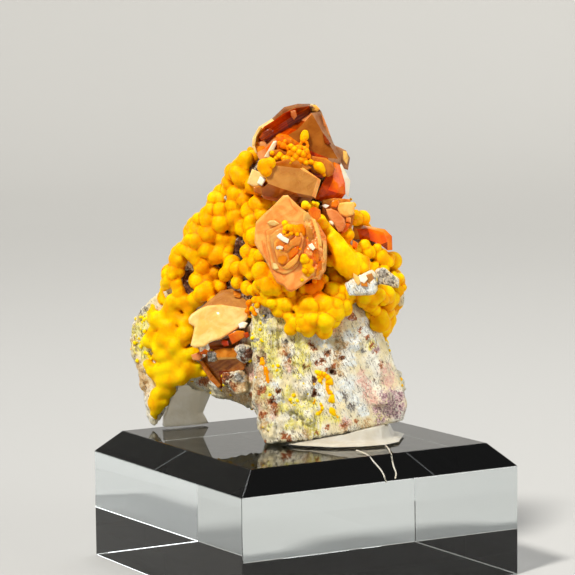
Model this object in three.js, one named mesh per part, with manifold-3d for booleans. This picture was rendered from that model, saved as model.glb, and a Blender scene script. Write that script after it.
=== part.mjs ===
// Wulfenite crystals with botryoidal mimetite on a pale host rock, glued on a bevelled acrylic block.
// Millimetres, +Z up. The origin is the centre of the block's underside, and its sides run along X and Y.
// The specimen is described as it stands on the block's deck: x to its right, y away from its front and
// z above the deck.
import * as THREE from "three";
import { ConvexGeometry } from "three/addons/geometries/ConvexGeometry.js";
import { MarchingCubes } from "three/addons/objects/MarchingCubes.js";
import { mergeVertices } from "three/addons/utils/BufferGeometryUtils.js";
import Module from "manifold-3d";

const BLOCK_SIDE = 50;
const BLOCK_HEIGHT = 21;
const BLOCK_CHAMFER = 3.5;
const SPECIMEN_TURN_DEG = -30.2; // the specimen's front is turned to the block's front left corner
const SEAT_REACH = 0.42; // corners pushed out by this leave about 0.3 between pieces that touch
const STEP_RISE = 0.4; // each growth step of a stepped crystal stands this far above the one below
const LUMP_SPACING = 2.5;
const LUMP_RADIUS = [1.6, 2.2];
const CRUST_CELL = 1.35; // grid on which the lumps of the crust are run together
const FINE_CELL = 0.6;
// Directions from which a face of the specimen is seen, in degrees round from its front.
const FRONT = 0;
const RIGHT = 80;
const REAR = 180;

const wasm = await Module();
wasm.setup();

// ---------- solids ----------

function solidOf(geometry) {
  const source = geometry.index ? geometry.toNonIndexed() : geometry;
  const bare = new THREE.BufferGeometry();
  bare.setAttribute("position", source.getAttribute("position"));
  const merged = mergeVertices(bare, 1e-4);
  const mesh = new wasm.Mesh({
    numProp: 3,
    vertProperties: merged.attributes.position.array,
    triVerts: new Uint32Array(merged.index.array),
  });
  return new wasm.Manifold(mesh);
}

function geometryOf(solid) {
  const mesh = solid.getMesh();
  const shared = new THREE.BufferGeometry();
  const positions = Float32Array.from(mesh.vertProperties);
  shared.setAttribute("position", new THREE.BufferAttribute(positions, 3));
  shared.setIndex(Array.from(mesh.triVerts));
  const faceted = shared.toNonIndexed();
  faceted.computeVertexNormals();
  return faceted;
}

const hull = (corners) => solidOf(new ConvexGeometry(corners.map((xyz) => new THREE.Vector3(...xyz))));

// The hull of the same corners pushed out all round.
function grownHull(corners, reach) {
  const pushed = corners.flatMap(([x, y, z]) => [
    [x - reach, y, z],
    [x + reach, y, z],
    [x, y - reach, z],
    [x, y + reach, z],
    [x, y, z - reach],
    [x, y, z + reach],
  ]);
  return hull(pushed);
}

// For cutting a neighbour clear of a hull.
const clear = (corners) => grownHull(corners, SEAT_REACH);

const join = (solids) => solids.reduce((all, one) => all.add(one));

// Cutting can leave crumbs: a piece is the largest body of what is left.
const bigger = (one, other) => (one.volume() > other.volume() ? one : other);
const largest = (solid) => solid.decompose().reduce(bigger);

// A repeatable stream of numbers from 0 to 1.
function numbers(seed) {
  let state = seed;
  return () => {
    state = (state + 0x6d2b79f5) | 0;
    let mixed = Math.imul(state ^ (state >>> 15), 1 | state);
    mixed = (mixed + Math.imul(mixed ^ (mixed >>> 7), 61 | mixed)) ^ mixed;
    return ((mixed ^ (mixed >>> 14)) >>> 0) / 2 ** 32;
  };
}

// ---------- host rock ----------

// Convex chunks of the rock: each is the hull of its corners.
const ROCK_CHUNKS = {
  // squared block that stands on the deck, with the pale broken face in front
  foot: [
    [-5.8, -9, 0.4], [-4.2, -9.2, 0.4], [-7.2, -7.5, 7], [-7.3, -6.5, 14], [-7.4, -5, 19],
    [-6, -6.5, 22.5], [6.9, -9.2, 2.2], [7.2, -6.5, 22.5], [16.4, -5, 3.4], [16.9, -4.5, 5.8],
    [15.5, -3.5, 10.5], [13.5, -2.5, 15.2], [11.5, -2.5, 20.5], [-5, 5, 1.6], [14.5, 10.5, 3.9],
    [12.4, 11.4, 18], [-6, 8, 20],
  ],
  trunk: [
    [-14, 2, 19], [-6, -5.5, 20], [7, -5.5, 20], [12.5, 0, 20], [11, 10, 20], [-13, 12, 19],
    [-6.2, 0, 43.5],
    [4.5, -1.2, 42], [4, 7.5, 42], [-6, 8.5, 43.5], [9.5, 2, 33], [8.5, 9, 32],
  ],
  // swelling behind the large face-on crystal
  boss: [
    [-5, -7.5, 25], [3, -7.5, 25], [-4.6, -7, 35], [2.6, -6.5, 35], [-6, -2, 23], [5, -2, 23],
    [-5, -1, 38],
    [4, -1, 38],
  ],
  neck: [
    [-6, -1.4, 46.5], [4, -2.4, 42], [6.6, -0.6, 36], [-8, 0.4, 40], [5, 5, 44], [-6, 6, 46],
    [-2, 1, 48.5],
  ],
  // long slope from the neck down to the left
  ridge: [
    [-8, 1.2, 44.5], [-13, 2.2, 37], [-17.5, 3.6, 31.3], [-20.3, 5.4, 25.8], [-5, 0.5, 41],
    [-8.5, 3.2, 33], [-13.5, 4.6, 26], [-16, 5, 22], [-7, 8, 44], [-12, 10, 37], [-17, 11, 31],
    [-19.5, 12, 25.5], [-15, 12, 20],
  ],
  wing: [
    [-20, 5, 26], [-12, 1.6, 22.5], [-8, -1, 19], [-15.8, 4.5, 9.8], [-20.5, 7, 8], [-26.6, 9.2, 9.6],
    [-28.2, 10, 15.3], [-26.4, 9, 19.6], [-22.6, 6.8, 23], [-8, 7, 16], [-14.5, 11, 8.6],
    [-20, 12.5, 7.8],
    [-27.4, 11.6, 12], [-25.6, 12.2, 18.6], [-19.5, 12.8, 25],
  ],
  // leg under the wing's far end, down to the deck
  spur: [
    [-27.2, 9.4, 13], [-26.4, 9, 8], [-25, 9, 4], [-24.9, 9.3, 0.4], [-23.8, 9.1, 0.4], [-21.8, 8.2, 4],
    [-19.6, 7.6, 8.2], [-22, 7.4, 15], [-24.7, 10.1, 0.5], [-25.6, 11, 9], [-21.4, 11, 9],
  ],
  underside: [
    [-14.6, 3, 16], [-14.2, 2.2, 10.8], [-12, 0.8, 8], [-7, -3.5, 5], [-6.2, -5.4, 14], [-7.6, -4.4, 19],
    [-13.6, 0.6, 19.5], [-6.6, 7, 4], [-13.2, 12, 6.2], [-18.6, 11.6, 7], [-16, 12, 14],
  ],
  shoulder: [
    [8, -0.5, 35], [12.3, 1.8, 31.2], [14.6, 2.2, 27.2], [15.2, 2.8, 22.5], [13, 1, 15], [9, -3.4, 20],
    [6, -5, 27], [10, 9, 30], [12.5, 9, 21], [7.5, 9, 34],
  ],
  // bare shelf that stands out under the shoulder
  ledge: [
    [8.4, -6.4, 24.4], [12.2, -5.4, 24.6], [12, -5.6, 22.8], [8.8, -6.4, 22.4], [13, -1, 25.4],
    [8, -1, 25.6],
    [8.4, -1.5, 22], [13, -0.5, 22.4],
  ],
  back: [
    [-7, 8, 43.5], [3, 8, 41.5], [11.5, 11, 24], [12.5, 11, 6], [-3, 12.5, 4.5], [-13.5, 14.4, 8],
    [-17, 13.6, 23], [-6, 4, 6], [8, 3, 6], [-4, 13.4, 22],
  ],
};

const wholeRock = join(Object.values(ROCK_CHUNKS).map(hull));

function inside(outline, x, z) {
  let odd = false;
  outline.forEach(([x1, z1], i) => {
    const [x2, z2] = outline[(i + 1) % outline.length];
    if (z1 > z !== z2 > z && x < ((x2 - x1) * (z - z1)) / (z2 - z1) + x1) odd = !odd;
  });
  return odd;
}

// Looks level at a solid from a direction: u runs to the right and the depth away from there.
function depthGauge(solid) {
  const bothSides = new THREE.MeshBasicMaterial({ side: THREE.DoubleSide });
  const probe = new THREE.Mesh(geometryOf(solid), bothSides);
  const ray = new THREE.Raycaster();
  const clearOf = -60;
  return (u, z, from) => {
    const start = new THREE.Vector3(...pointFrom(u, clearOf, z, from));
    const away = new THREE.Vector3(...pointFrom(0, 1, 0, from));
    ray.set(start, away);
    const hit = ray.intersectObject(probe)[0];
    return hit ? hit.distance + clearOf : null;
  };
}

function pointFrom(u, depth, z, from) {
  const turn = THREE.MathUtils.degToRad(from);
  const x = u * Math.cos(turn) - depth * Math.sin(turn);
  const y = u * Math.sin(turn) + depth * Math.cos(turn);
  return [x, y, z];
}

function extent(outline) {
  const us = outline.map((corner) => corner[0]);
  const zs = outline.map((corner) => corner[1]);
  return {
    left: Math.min(...us),
    right: Math.max(...us),
    low: Math.min(...zs),
    high: Math.max(...zs),
  };
}

// Broken blocks scattered on the rock inside an outline of u and z, seen from one side: added they are
// ledges, cut away they are pits.
function blocks(outline, { count, size, from, sunk, seed }) {
  const next = numbers(seed);
  const depthAt = depthGauge(wholeRock);
  const { left, right, low, high } = extent(outline);
  const tilt = 0.7; // radians
  const found = [];
  while (found.length < count) {
    const u = left + (right - left) * next();
    const z = low + (high - low) * next();
    const side = size[0] + (size[1] - size[0]) * next();
    const depth = depthAt(u, z, from);
    if (depth === null || !inside(outline, u, z)) continue;
    const block = new THREE.BoxGeometry(side * (1 + next()), side, side * (0.6 + 0.4 * next()));
    block.rotateX((next() - 0.5) * tilt);
    block.rotateY((next() - 0.5) * tilt * 2);
    block.rotateZ((next() - 0.5) * tilt * 2 + THREE.MathUtils.degToRad(from));
    block.translate(...pointFrom(u, depth + side * sunk, z, from));
    found.push(solidOf(block));
  }
  return join(found);
}

const FACE_OUTLINE = [[-5, 3], [14, 6], [12.5, 15], [9, 20], [-5.5, 20]];
const REAR_OUTLINE = [[-9, 8], [15, 10], [14, 30], [6, 41], [-1, 40], [-9, 28]];
const FAR_OUTLINE = [[20, 10], [25, 11], [23, 20], [19, 23]];
const RIGHT_OUTLINE = [[4, 8], [9, 7], [10, 20], [8, 26], [5, 22], [4, 14]];

const rockBody = wholeRock
  .add(blocks(FACE_OUTLINE, { count: 7, size: [1.6, 2.8], from: FRONT, sunk: 0.3, seed: 5 }))
  .add(blocks(REAR_OUTLINE, { count: 12, size: [5, 9], from: REAR, sunk: 0.36, seed: 8 }))
  .add(blocks(FAR_OUTLINE, { count: 3, size: [3, 5], from: REAR, sunk: 0.36, seed: 3 }))
  .add(blocks(RIGHT_OUTLINE, { count: 3, size: [3, 5], from: RIGHT, sunk: 0.44, seed: 23 }))
  .subtract(blocks(FACE_OUTLINE, { count: 5, size: [1, 1.8], from: FRONT, sunk: 0, seed: 12 }))
  .subtract(blocks(REAR_OUTLINE, { count: 5, size: [2, 3.4], from: REAR, sunk: -0.1, seed: 21 }));

// ---------- wulfenite ----------

// Corners of a tabular crystal. Its outline's corners are x and z, face is the depth of its front face at
// the centre, and lean is how far the face falls back for each step in x and in z.
function tablet({ outline, centre, face, lean = [0, 0], thick, bevel = 0.86, rim = 0.35 }) {
  const [cx, cz] = centre;
  const ring = (scale, depth) =>
    outline.map(([x, z]) => {
      const dx = (x - cx) * scale;
      const dz = (z - cz) * scale;
      return [cx + dx, face + depth + lean[0] * dx + lean[1] * dz, cz + dz];
    });
  return [...ring(bevel, 0), ...ring(1, thick * rim), ...ring(bevel, thick)];
}

// Growth steps: smaller tablets, each standing proud of the one under it.
function stepped(shape, steps) {
  return steps.map(([scale, dx, dz], i) => {
    const [cx, cz] = shape.centre;
    const centre = [cx + dx, cz + dz];
    const outline = shape.outline.map(([x, z]) => [
      centre[0] + (x - cx) * scale,
      centre[1] + (z - cz) * scale,
    ]);
    const rise = STEP_RISE * (i + 1);
    const face = shape.face + shape.lean[0] * dx + shape.lean[1] * dz - rise;
    return tablet({ ...shape, outline, centre, face, thick: rise + 0.6, bevel: 0.94 });
  });
}

const ROSE = {
  outline: [
    [-6.9, 32.8], [-6.4, 35.4], [-5.5, 37], [-3.7, 38.8], [-2, 40], [-0.3, 38.2], [3.3, 34.4],
    [3.5, 30], [2.8, 27.4], [-0.3, 24.9], [-1.6, 24.8], [-3.4, 26.1], [-5.5, 29.6],
  ],
  centre: [-1.4, 32],
  face: -11.2,
  lean: [0.08, 0.07],
  thick: 2.6,
};

const SHELF_FACE = {
  outline: [
    [-16.2, 20.4], [-8.6, 20.6], [-8.4, 19.4], [-10, 17.8], [-12.6, 16.8], [-15.6, 16.2], [-16.8, 17.4],
  ],
  centre: [-12.6, 18.8],
  face: -5.2,
  lean: [0.02, 0.55],
  thick: 1.6,
};

// Each crystal is one or more hulls grown together, less its hollows.
const CRYSTALS = {
  wulfenite_crown: {
    hulls: [
      // thick main plate
      [
        [-6.2, -1.2, 45], [-7.4, -0.6, 47.8], [-6.6, -0.2, 50.1], [-4, 0.4, 51.6], [-5.4, -2.6, 45.6],
        [-6.4, -2.2, 48], [-5.6, -1.8, 49.6], [-3.4, -1.2, 50.9], [3.4, -2.8, 44], [-1, -3, 44.2],
        [3, 0.6, 52.8], [6.6, 0.2, 47], [2.2, -2, 51], [5.4, -2.4, 45.6], [-6, 3, 45.5],
        [-6.6, 3, 48.6], [-3.8, 3.4, 51.2], [6.4, 3.2, 46.4], [3, 3.4, 51.6], [-4.4, 2.6, 43.6],
        [5, 3, 43],
      ],
      // domed top
      [
        [-3.8, -0.6, 51.4], [-2.4, -0.4, 53.1], [0.3, -0.2, 53.9], [2.2, -0.2, 53.8], [3.6, 0.4, 52.6],
        [4.6, 0.6, 49.8], [-3.4, 3, 51.2], [-2, 3.2, 52.7], [0.4, 3.3, 53.4], [2.2, 3.4, 53.2],
        [3.6, 3.4, 51.8], [2.4, -1.6, 50.4], [-2.6, -1.2, 50.2],
      ],
      // lower right plate
      [
        [3, -2.6, 46], [6.2, -1.8, 46.4], [8, -0.6, 43.6], [8.2, -0.4, 40.6], [7.6, -0.6, 38.8],
        [5.8, -1.6, 38],
        [2.4, -2.8, 38.2], [7.4, 1.8, 44.2], [7.8, 1.8, 40.6], [7, 1.6, 38.8], [3, 1.8, 38.4],
        [3, 2.4, 46],
      ],
      // front plate
      [
        [-4.6, -6.2, 43.4], [-2.6, -6.2, 44.2], [3.7, -6.2, 42.5], [2.4, -7.2, 38.9], [-3.1, -7.4, 40.6],
        [-5.3, -7.2, 41.1], [-4.6, -1.8, 44.8], [3.6, -1.8, 43.8], [2.6, -2.6, 38.8], [-5.4, -3.2, 39.8],
        [-4.6, -6, 39.4], [1, -6, 38.2],
      ],
      // stub beside the front plate
      [
        [-7.6, -3.4, 42], [-6.4, -4.6, 43.8], [-5.2, -4.8, 43.6], [-5.2, -5.8, 41.2], [-6.6, -4.8, 40.2],
        [-7.2, -1.6, 43], [-4.6, -1.6, 44], [-4.8, -2, 40],
      ],
    ],
    hollows: [
      // striated hollow across the upper left
      [
        [-6.3, -6, 47.2], [-4.8, -6, 49.8], [-2.2, -6, 51.8], [1.8, -6, 52.2], [2.4, -6, 50.6],
        [-0.6, -6, 49],
        [-3.6, -6, 47.4], [-5, -0.9, 47.8], [-3.6, -0.7, 49.6], [0.6, -0.4, 51.4], [1, -0.8, 50.6],
        [-3, -1.2, 48],
      ],
    ],
  },
  wulfenite_rose: {
    hulls: [
      tablet(ROSE),
      ...stepped(ROSE, [[0.72, 0.4, -0.6], [0.5, 0.5, -0.4], [0.28, 0.2, 0.8]]),
      // plate behind its right side
      [
        [1.6, -9.8, 36.4], [4.2, -9, 32.8], [4.3, -9, 30.2], [4, -9.2, 27.4], [2.2, -9.6, 26.4],
        [0.6, -7.4, 36],
        [4, -6.9, 32.6], [4, -6.9, 27.6], [1.4, -7.8, 26.4],
      ],
    ],
    hollows: [],
  },
  wulfenite_shelf: {
    hulls: [
      [
        [-17.9, -3.4, 19.7], [-16.5, -3, 21.3], [-8.2, -3.6, 21.1], [-7.9, -4.4, 19.8],
        [-9.1, -5.3, 18.4],
        [-12.4, -6.3, 16.6], [-15.4, -6.3, 15.7], [-17.5, -5.3, 15.8], [-15.2, -0.6, 22],
        [-11, 0.9, 24.1],
        [-9, 0.6, 24.2], [-7.7, -0.8, 22.6], [-17, -1, 19.4], [-16.4, -3.2, 15.2], [-9.2, -3, 17.4],
        [-12, -3.4, 15.6], [-12, -0.6, 19.8],
      ],
      tablet(SHELF_FACE),
    ],
    hollows: [],
  },
  wulfenite_keel: {
    hulls: [
      [
        [-16.2, -0.6, 12.8], [-15.4, -2.4, 14.6], [-12, -4.2, 14.6], [-8.6, -5, 14.2], [-8.8, -4.6, 11.4],
        [-12.2, -2, 8], [-14.2, -0.6, 9.2], [-15.2, 1, 14.4], [-12.6, 0.6, 14.6], [-12.6, 1.4, 9.4],
      ],
      // broken steps on its front
      [
        [-13.6, -3.4, 13.6], [-9.4, -5, 13.4], [-9.6, -4.9, 12.4], [-13.4, -3, 12.2], [-13.2, -1, 13.8],
        [-9.6, -2, 12.6],
      ],
      [
        [-12.8, -2.9, 11.6], [-9.4, -4.9, 11.9], [-9.8, -4.5, 10.6], [-12.4, -2.4, 10],
        [-12.2, -0.6, 11.4], [-9.8, -2, 11],
      ],
    ],
    hollows: [],
  },
  wulfenite_blade: {
    hulls: [
      [
        [8.3, -0.6, 31.8], [8.6, -0.4, 33.5], [10.6, 0, 34], [13.8, 0.2, 33.5], [15.1, 0.2, 31.6],
        [14.9, -0.2, 30.3],
        [12.2, -0.6, 30.8], [9.5, -0.8, 31.7], [8.8, 1.6, 33.7], [10.8, 2.2, 34.1], [13.8, 2.4, 33.4],
        [14.9, 2.2, 31.4], [14.4, 2, 30.2],
      ],
    ],
    hollows: [],
  },
  wulfenite_chip_square: {
    hulls: [
      [
        [6.3, -4.4, 37.4], [8.4, -4.2, 37.4], [8.7, -4, 36.6], [8.1, -4.6, 35.5], [7.3, -4.8, 35.3],
        [6.4, -4.6, 35.8],
        [6.6, -1.6, 37.2], [8.6, -1.4, 37.2], [8.2, -1.6, 35.6], [6.8, -1.6, 35.6],
      ],
    ],
    hollows: [],
  },
  wulfenite_chip_pink: {
    hulls: [
      [
        [4.1, -5.6, 36.3], [5.2, -5.6, 36.4], [7, -5.6, 34.7], [6.9, -5.7, 33.7], [6.4, -6, 33.1],
        [5.7, -6.2, 33.5],
        [4.7, -6, 34.7], [4.4, -3.4, 35.8], [6.8, -3.4, 34.2], [6.2, -3.6, 32.9],
      ],
    ],
    hollows: [],
  },
};

const crystalNames = Object.keys(CRYSTALS);

function crystalSolid(name) {
  const { hulls, hollows } = CRYSTALS[name];
  return hollows.map(hull).reduce((solid, hollow) => solid.subtract(hollow), join(hulls.map(hull)));
}

const crystals = Object.fromEntries(crystalNames.map((name) => [name, crystalSolid(name)]));
const crystalCutter = join(crystalNames.flatMap((name) => CRYSTALS[name].hulls.map(clear)));
const rock = largest(rockBody.subtract(crystalCutter));

// ---------- mimetite ----------

const rockDepth = depthGauge(rock);
const crystalDepth = depthGauge(join(Object.values(crystals)));
const behindCrystal = (u, z, depth, from) => {
  const near = crystalDepth(u, z, from);
  return near !== null && near < depth;
};

// A lump is x, y, z and radius. These stand on a staggered grid inside an outline of u and z, each sunk
// into the rock by a share of its radius; bare patches and places hidden by crystals have none.
function cover(outline, { sink, from = FRONT, bare = [], seed }) {
  const next = numbers(seed);
  const { left, right, low, high } = extent(outline);
  const rowHeight = (LUMP_SPACING * Math.sqrt(3)) / 2;
  const stray = LUMP_SPACING / 2;
  const lumps = [];
  for (let row = 0; low + row * rowHeight <= high; row += 1) {
    for (let column = 0; left + column * LUMP_SPACING <= right; column += 1) {
      const u = left + (column + (row % 2) / 2) * LUMP_SPACING + (next() - 0.5) * stray;
      const z = low + row * rowHeight + (next() - 0.5) * stray;
      const reach = LUMP_RADIUS[0] + (LUMP_RADIUS[1] - LUMP_RADIUS[0]) * next();
      const depth = rockDepth(u, z, from);
      const isBare = bare.some(([atU, atZ, size]) => Math.hypot(u - atU, z - atZ) < size);
      if (!inside(outline, u, z) || depth === null || isBare) continue;
      const hidden = [[0, 0], [-1, 0], [1, 0], [0, -1], [0, 1]].every(([du, dz]) =>
        behindCrystal(u + du * reach, z + dz * reach, depth, from),
      );
      if (!hidden) lumps.push([...pointFrom(u, depth + sink * reach, z, from), reach]);
    }
  }
  return lumps;
}

// Lumps run together between each of a row and the next.
function finger(row) {
  const between = 5;
  const blend = (from, to, share) => from.map((value, i) => value + (to[i] - value) * share);
  const steps = Array.from({ length: between + 1 }, (_, step) => step / between);
  return row.slice(1).flatMap((next, i) => steps.map((share) => blend(row[i], next, share)));
}

// One solid over all the lumps: the surface where radius less distance is zero, on a cubic grid of cells.
function fuse(lumps, cell) {
  const box = new THREE.Box3();
  lumps.forEach(([x, y, z, radius]) => {
    const across = new THREE.Vector3().setScalar(radius * 2);
    box.union(new THREE.Box3().setFromCenterAndSize(new THREE.Vector3(x, y, z), across));
  });
  const centre = box.getCenter(new THREE.Vector3());
  const margin = 6; // empty cells round the lumps
  const size = Math.ceil(Math.max(...box.getSize(new THREE.Vector3())) / cell) + margin;
  const half = size / 2;
  const most = 40000; // triangles
  const cubes = new MarchingCubes(size, new THREE.MeshBasicMaterial(), false, false, most);
  const shy = 0.04; // the surface keeps this far off the grid's corners
  cubes.isolation = 0;
  cubes.field.forEach((_, index) => {
    const px = ((index % size) - half) * cell + centre.x;
    const py = ((Math.floor(index / size) % size) - half) * cell + centre.y;
    const pz = (Math.floor(index / size ** 2) - half) * cell + centre.z;
    const depth = lumps.reduce(
      (deepest, [x, y, z, radius]) => Math.max(deepest, radius - Math.hypot(px - x, py - y, pz - z)),
      -2 * cell,
    );
    cubes.field[index] = Math.abs(depth) < shy ? shy : depth;
  });
  cubes.update();
  const surface = new THREE.BufferGeometry();
  const positions = cubes.positionArray.slice(0, cubes.count * 3);
  surface.setAttribute("position", new THREE.BufferAttribute(positions, 3));
  surface.scale(half * cell, half * cell, half * cell);
  surface.translate(centre.x, centre.y, centre.z);
  return solidOf(surface);
}

// What the mimetite covers, seen from the front.
const CRUST_OUTLINE = [
  [-6.6, 46], [-8.6, 45], [-10.8, 41.6], [-14.4, 37.4], [-17.8, 33], [-19.8, 28.4], [-21, 24.8],
  [-22.6, 21.4], [-24.8, 17.6], [-24.8, 14], [-24.4, 9], [-20.8, 8.4], [-16, 9.6], [-15, 14], [-17.6, 15],
  [-18, 20], [-15, 22.6], [-11, 23.6], [-7.6, 21], [-4.5, 21.4], [-1.5, 20.6], [-0.8, 18.4], [1.4, 17.4],
  [4.4, 18], [6, 20.4], [8, 22.4], [10, 21], [11, 19.4], [12.9, 18.4], [13.2, 15], [14.6, 14.6],
  [15.6, 19], [16.8, 23], [16.2, 26], [14.8, 27.4], [14.8, 29], [13, 30.8], [9.6, 32], [9.6, 35],
  [8.2, 38.2], [3.6, 38.6], [-5.5, 40],
];
// The same from its right.
const RIGHT_RIM = [[-2, 21], [5, 20.5], [6, 26], [5, 33], [0, 36], [-3, 34], [-2, 26]];
// Places where the rock shows through: x, z and radius.
const BARE = [
  [-9, 30.5, 1.6], [-15.2, 30.4, 1.2], [-17.6, 24.8, 1.5],
  [-8.6, 37.6, 1.2], [-11.6, 26.4, 1], [14.4, 25.4, 1.5],
];

const MIMETITE = {
  mimetite_crust: {
    cell: CRUST_CELL,
    lumps: [
      ...cover(CRUST_OUTLINE, { sink: -0.1, bare: BARE, seed: 11 }),
      ...cover(RIGHT_RIM, { sink: 0.2, from: RIGHT, seed: 29 }),
      // rim of the slope
      [-7.6, 3.4, 45, 1.5], [-9.6, 3.6, 41.8, 1.8], [-12, 4.4, 38.4, 1.8], [-14.8, 5.4, 35, 1.9],
      [-17, 5.8, 31.6, 1.9], [-18.8, 6.4, 28, 1.8], [-20.8, 7.6, 24.2, 1.7], [-9.4, 6.4, 42, 1.8],
      [-13, 7.4, 37.4, 1.9], [-16.4, 8.4, 32.4, 1.9],
      // down the leg
      ...finger([[-21.6, 7.2, 9, 1.9], [-23, 7.9, 5, 1.5], [-24.1, 8.7, 2, 0.9]]),
      // knobs under the bare ledge
      [16, 1.4, 25, 1.4], [15.4, 0.6, 22.6, 1.6], [13.4, -1.4, 22.8, 1.6], [12, -2.6, 21.4, 1.7],
      [13.4, -0.6, 20, 1.8], [13.6, 0, 17.8, 1.5], [13.8, 0.2, 16, 1.2],
      // apron over the top of the foot
      [-6.6, -6.6, 21.8, 1.4], [-4.2, -7.6, 22.6, 1.6], [-1.4, -7.6, 22.4, 1.7], [0.8, -8.4, 21.4, 1.9],
      [3.2, -8.2, 22.4, 1.8], [5.6, -8, 21.6, 2], [1.4, -8.2, 19, 1.5], [3.6, -8.4, 19.8, 2],
      [0.4, -8, 17.9, 1],
      [7.8, -6.8, 22.8, 1.6], [2.2, -8, 24.6, 1.6], [5.4, -7.4, 24.6, 1.8],
      // finger that leans across the middle
      ...finger([[4, -5.4, 35, 1.2], [5.4, -7.6, 31.4, 1.6], [6.6, -8.4, 29, 1.9], [9.2, -7.4, 28, 1.8]]),
    ],
  },
  mimetite_crown_curl: {
    cell: FINE_CELL,
    lumps: [
      [-2.4, -3.1, 46.2, 0.9], [-1.1, -3.4, 46.2, 1], [0.1, -3.7, 45.4, 1.1], [1, -3.3, 46.7, 0.9],
      [0.6, -3.2, 48, 0.9],
    ],
  },
  mimetite_crown_ball: { cell: FINE_CELL, lumps: [[-5, -6.6, 43.9, 1.4], [-4.6, -6.9, 42.9, 0.9]] },
};

// ---------- glue ----------

// Hull of a bead of glue between its outline on one level and its outline above, whose corners either
// share one height or have one each.
function layer(lower, zLower, upper, zUpper) {
  const top = upper.map(([x, y], i) => [x, y, zUpper[i] ?? zUpper[0]]);
  return hull([...lower.map(([x, y]) => [x, y, zLower]), ...top]);
}

const GLUE_FRONT = [
  layer(
    [
      [-3.6, -8.6], [0, -10.9], [5.2, -12.8], [9.2, -12.4], [13.3, -10.8], [15.6, -8.1], [16.9, 0],
      [12, 5], [0, 2],
    ],
    0.3,
    [
      [-3, -8.2], [0, -9.6], [5.2, -10.8], [9.2, -10.7], [13, -9.4], [14.8, -7.2], [15.6, 0],
      [11.6, 4.6], [0.4, 1.8],
    ],
    [0.7],
  ),
  layer(
    [
      [-2.4, -8], [0.4, -9.4], [5.2, -10.2], [9.2, -10.2], [12.8, -9], [14.4, -6.8], [15, 0],
      [11, 4.4], [0.8, 1.6],
    ],
    0.6,
    [
      [0, -8.2], [2, -9], [5.6, -9.3], [9.6, -9.1], [12.6, -8.4], [13.6, -6], [13.8, 0],
      [10, 4], [2, 1],
    ],
    [0.9, 1.1, 1.9, 2.4, 2.9, 3.1, 3.3, 3.2, 1.2],
  ),
];
const GLUE_REAR = [
  layer(
    [[-23, 10.6], [-16, 14.2], [-15.2, 12.8], [-16.6, 11.2], [-22.6, 8.8]],
    0.3,
    [[-22.8, 10.4], [-16.6, 13.6], [-16.2, 12.6], [-17.2, 11.2], [-22.4, 9]],
    [2.2],
  ),
  layer(
    [[-22.8, 10.4], [-16.6, 13.6], [-16.2, 12.6], [-17.2, 11.2], [-22.4, 9]],
    2,
    [[-21.2, 11.2], [-14.8, 14], [-14, 12.8], [-16, 10.8], [-20.4, 9.8]],
    [7.2],
  ),
];

// ---------- pieces ----------

const FINISH = {
  rock: new THREE.MeshStandardMaterial({ color: 0xd9d8c4, roughness: 0.9, metalness: 0 }),
  mimetite: new THREE.MeshStandardMaterial({ color: 0xf5b400, roughness: 0.45, metalness: 0 }),
  wulfenite: new THREE.MeshStandardMaterial({ color: 0xe8873c, roughness: 0.2, metalness: 0 }),
  acrylic: new THREE.MeshStandardMaterial({ color: 0xf2f5f5, roughness: 0.03, metalness: 0 }),
  glue: new THREE.MeshStandardMaterial({ color: 0xe6e2d6, roughness: 0.3, metalness: 0 }),
};

const part = new THREE.Group();
const specimen = new THREE.Group();
specimen.rotation.z = THREE.MathUtils.degToRad(SPECIMEN_TURN_DEG);
specimen.position.z = BLOCK_HEIGHT;
part.add(specimen);

function place(parent, name, solid, finish) {
  const mesh = new THREE.Mesh(geometryOf(solid), finish);
  mesh.name = name;
  parent.add(mesh);
}

// What the rock with its gap takes out of the mimetite and glue that sit on it.
const rockCutter = join([...Object.values(ROCK_CHUNKS).map(clear), rockBody]);

place(specimen, "matrix_rock", rock, FINISH.rock);
crystalNames.forEach((name) => place(specimen, name, crystals[name], FINISH.wulfenite));
for (const [name, { lumps, cell }] of Object.entries(MIMETITE)) {
  const grown = fuse(lumps, cell).subtract(rockCutter).subtract(crystalCutter);
  place(specimen, name, largest(grown), FINISH.mimetite);
}
place(specimen, "glue_front", largest(join(GLUE_FRONT).subtract(rockCutter)), FINISH.glue);
place(specimen, "glue_rear", largest(join(GLUE_REAR).subtract(rockCutter)), FINISH.glue);

function displayBlock() {
  const half = BLOCK_SIDE / 2;
  const deck = half - BLOCK_CHAMFER;
  const shoulder = BLOCK_HEIGHT - BLOCK_CHAMFER;
  const square = (reach, z) => [
    [-reach, -reach, z],
    [reach, -reach, z],
    [reach, reach, z],
    [-reach, reach, z],
  ];
  return hull([...square(half, 0), ...square(half, shoulder), ...square(deck, BLOCK_HEIGHT)]);
}
place(part, "display_block", displayBlock(), FINISH.acrylic);

export default part;
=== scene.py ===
"""Looks of a wulfenite and mimetite specimen that is glued on a clear bevelled block.

Everything is in metres in the row frame. The specimen is described in millimetres in a frame of its own:
x to its right, y away from its front and z above the block's deck. A place that is judged is given
as it is seen by the camera: u to the right and v down, on a picture of PICTURE points each way.
"""

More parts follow.
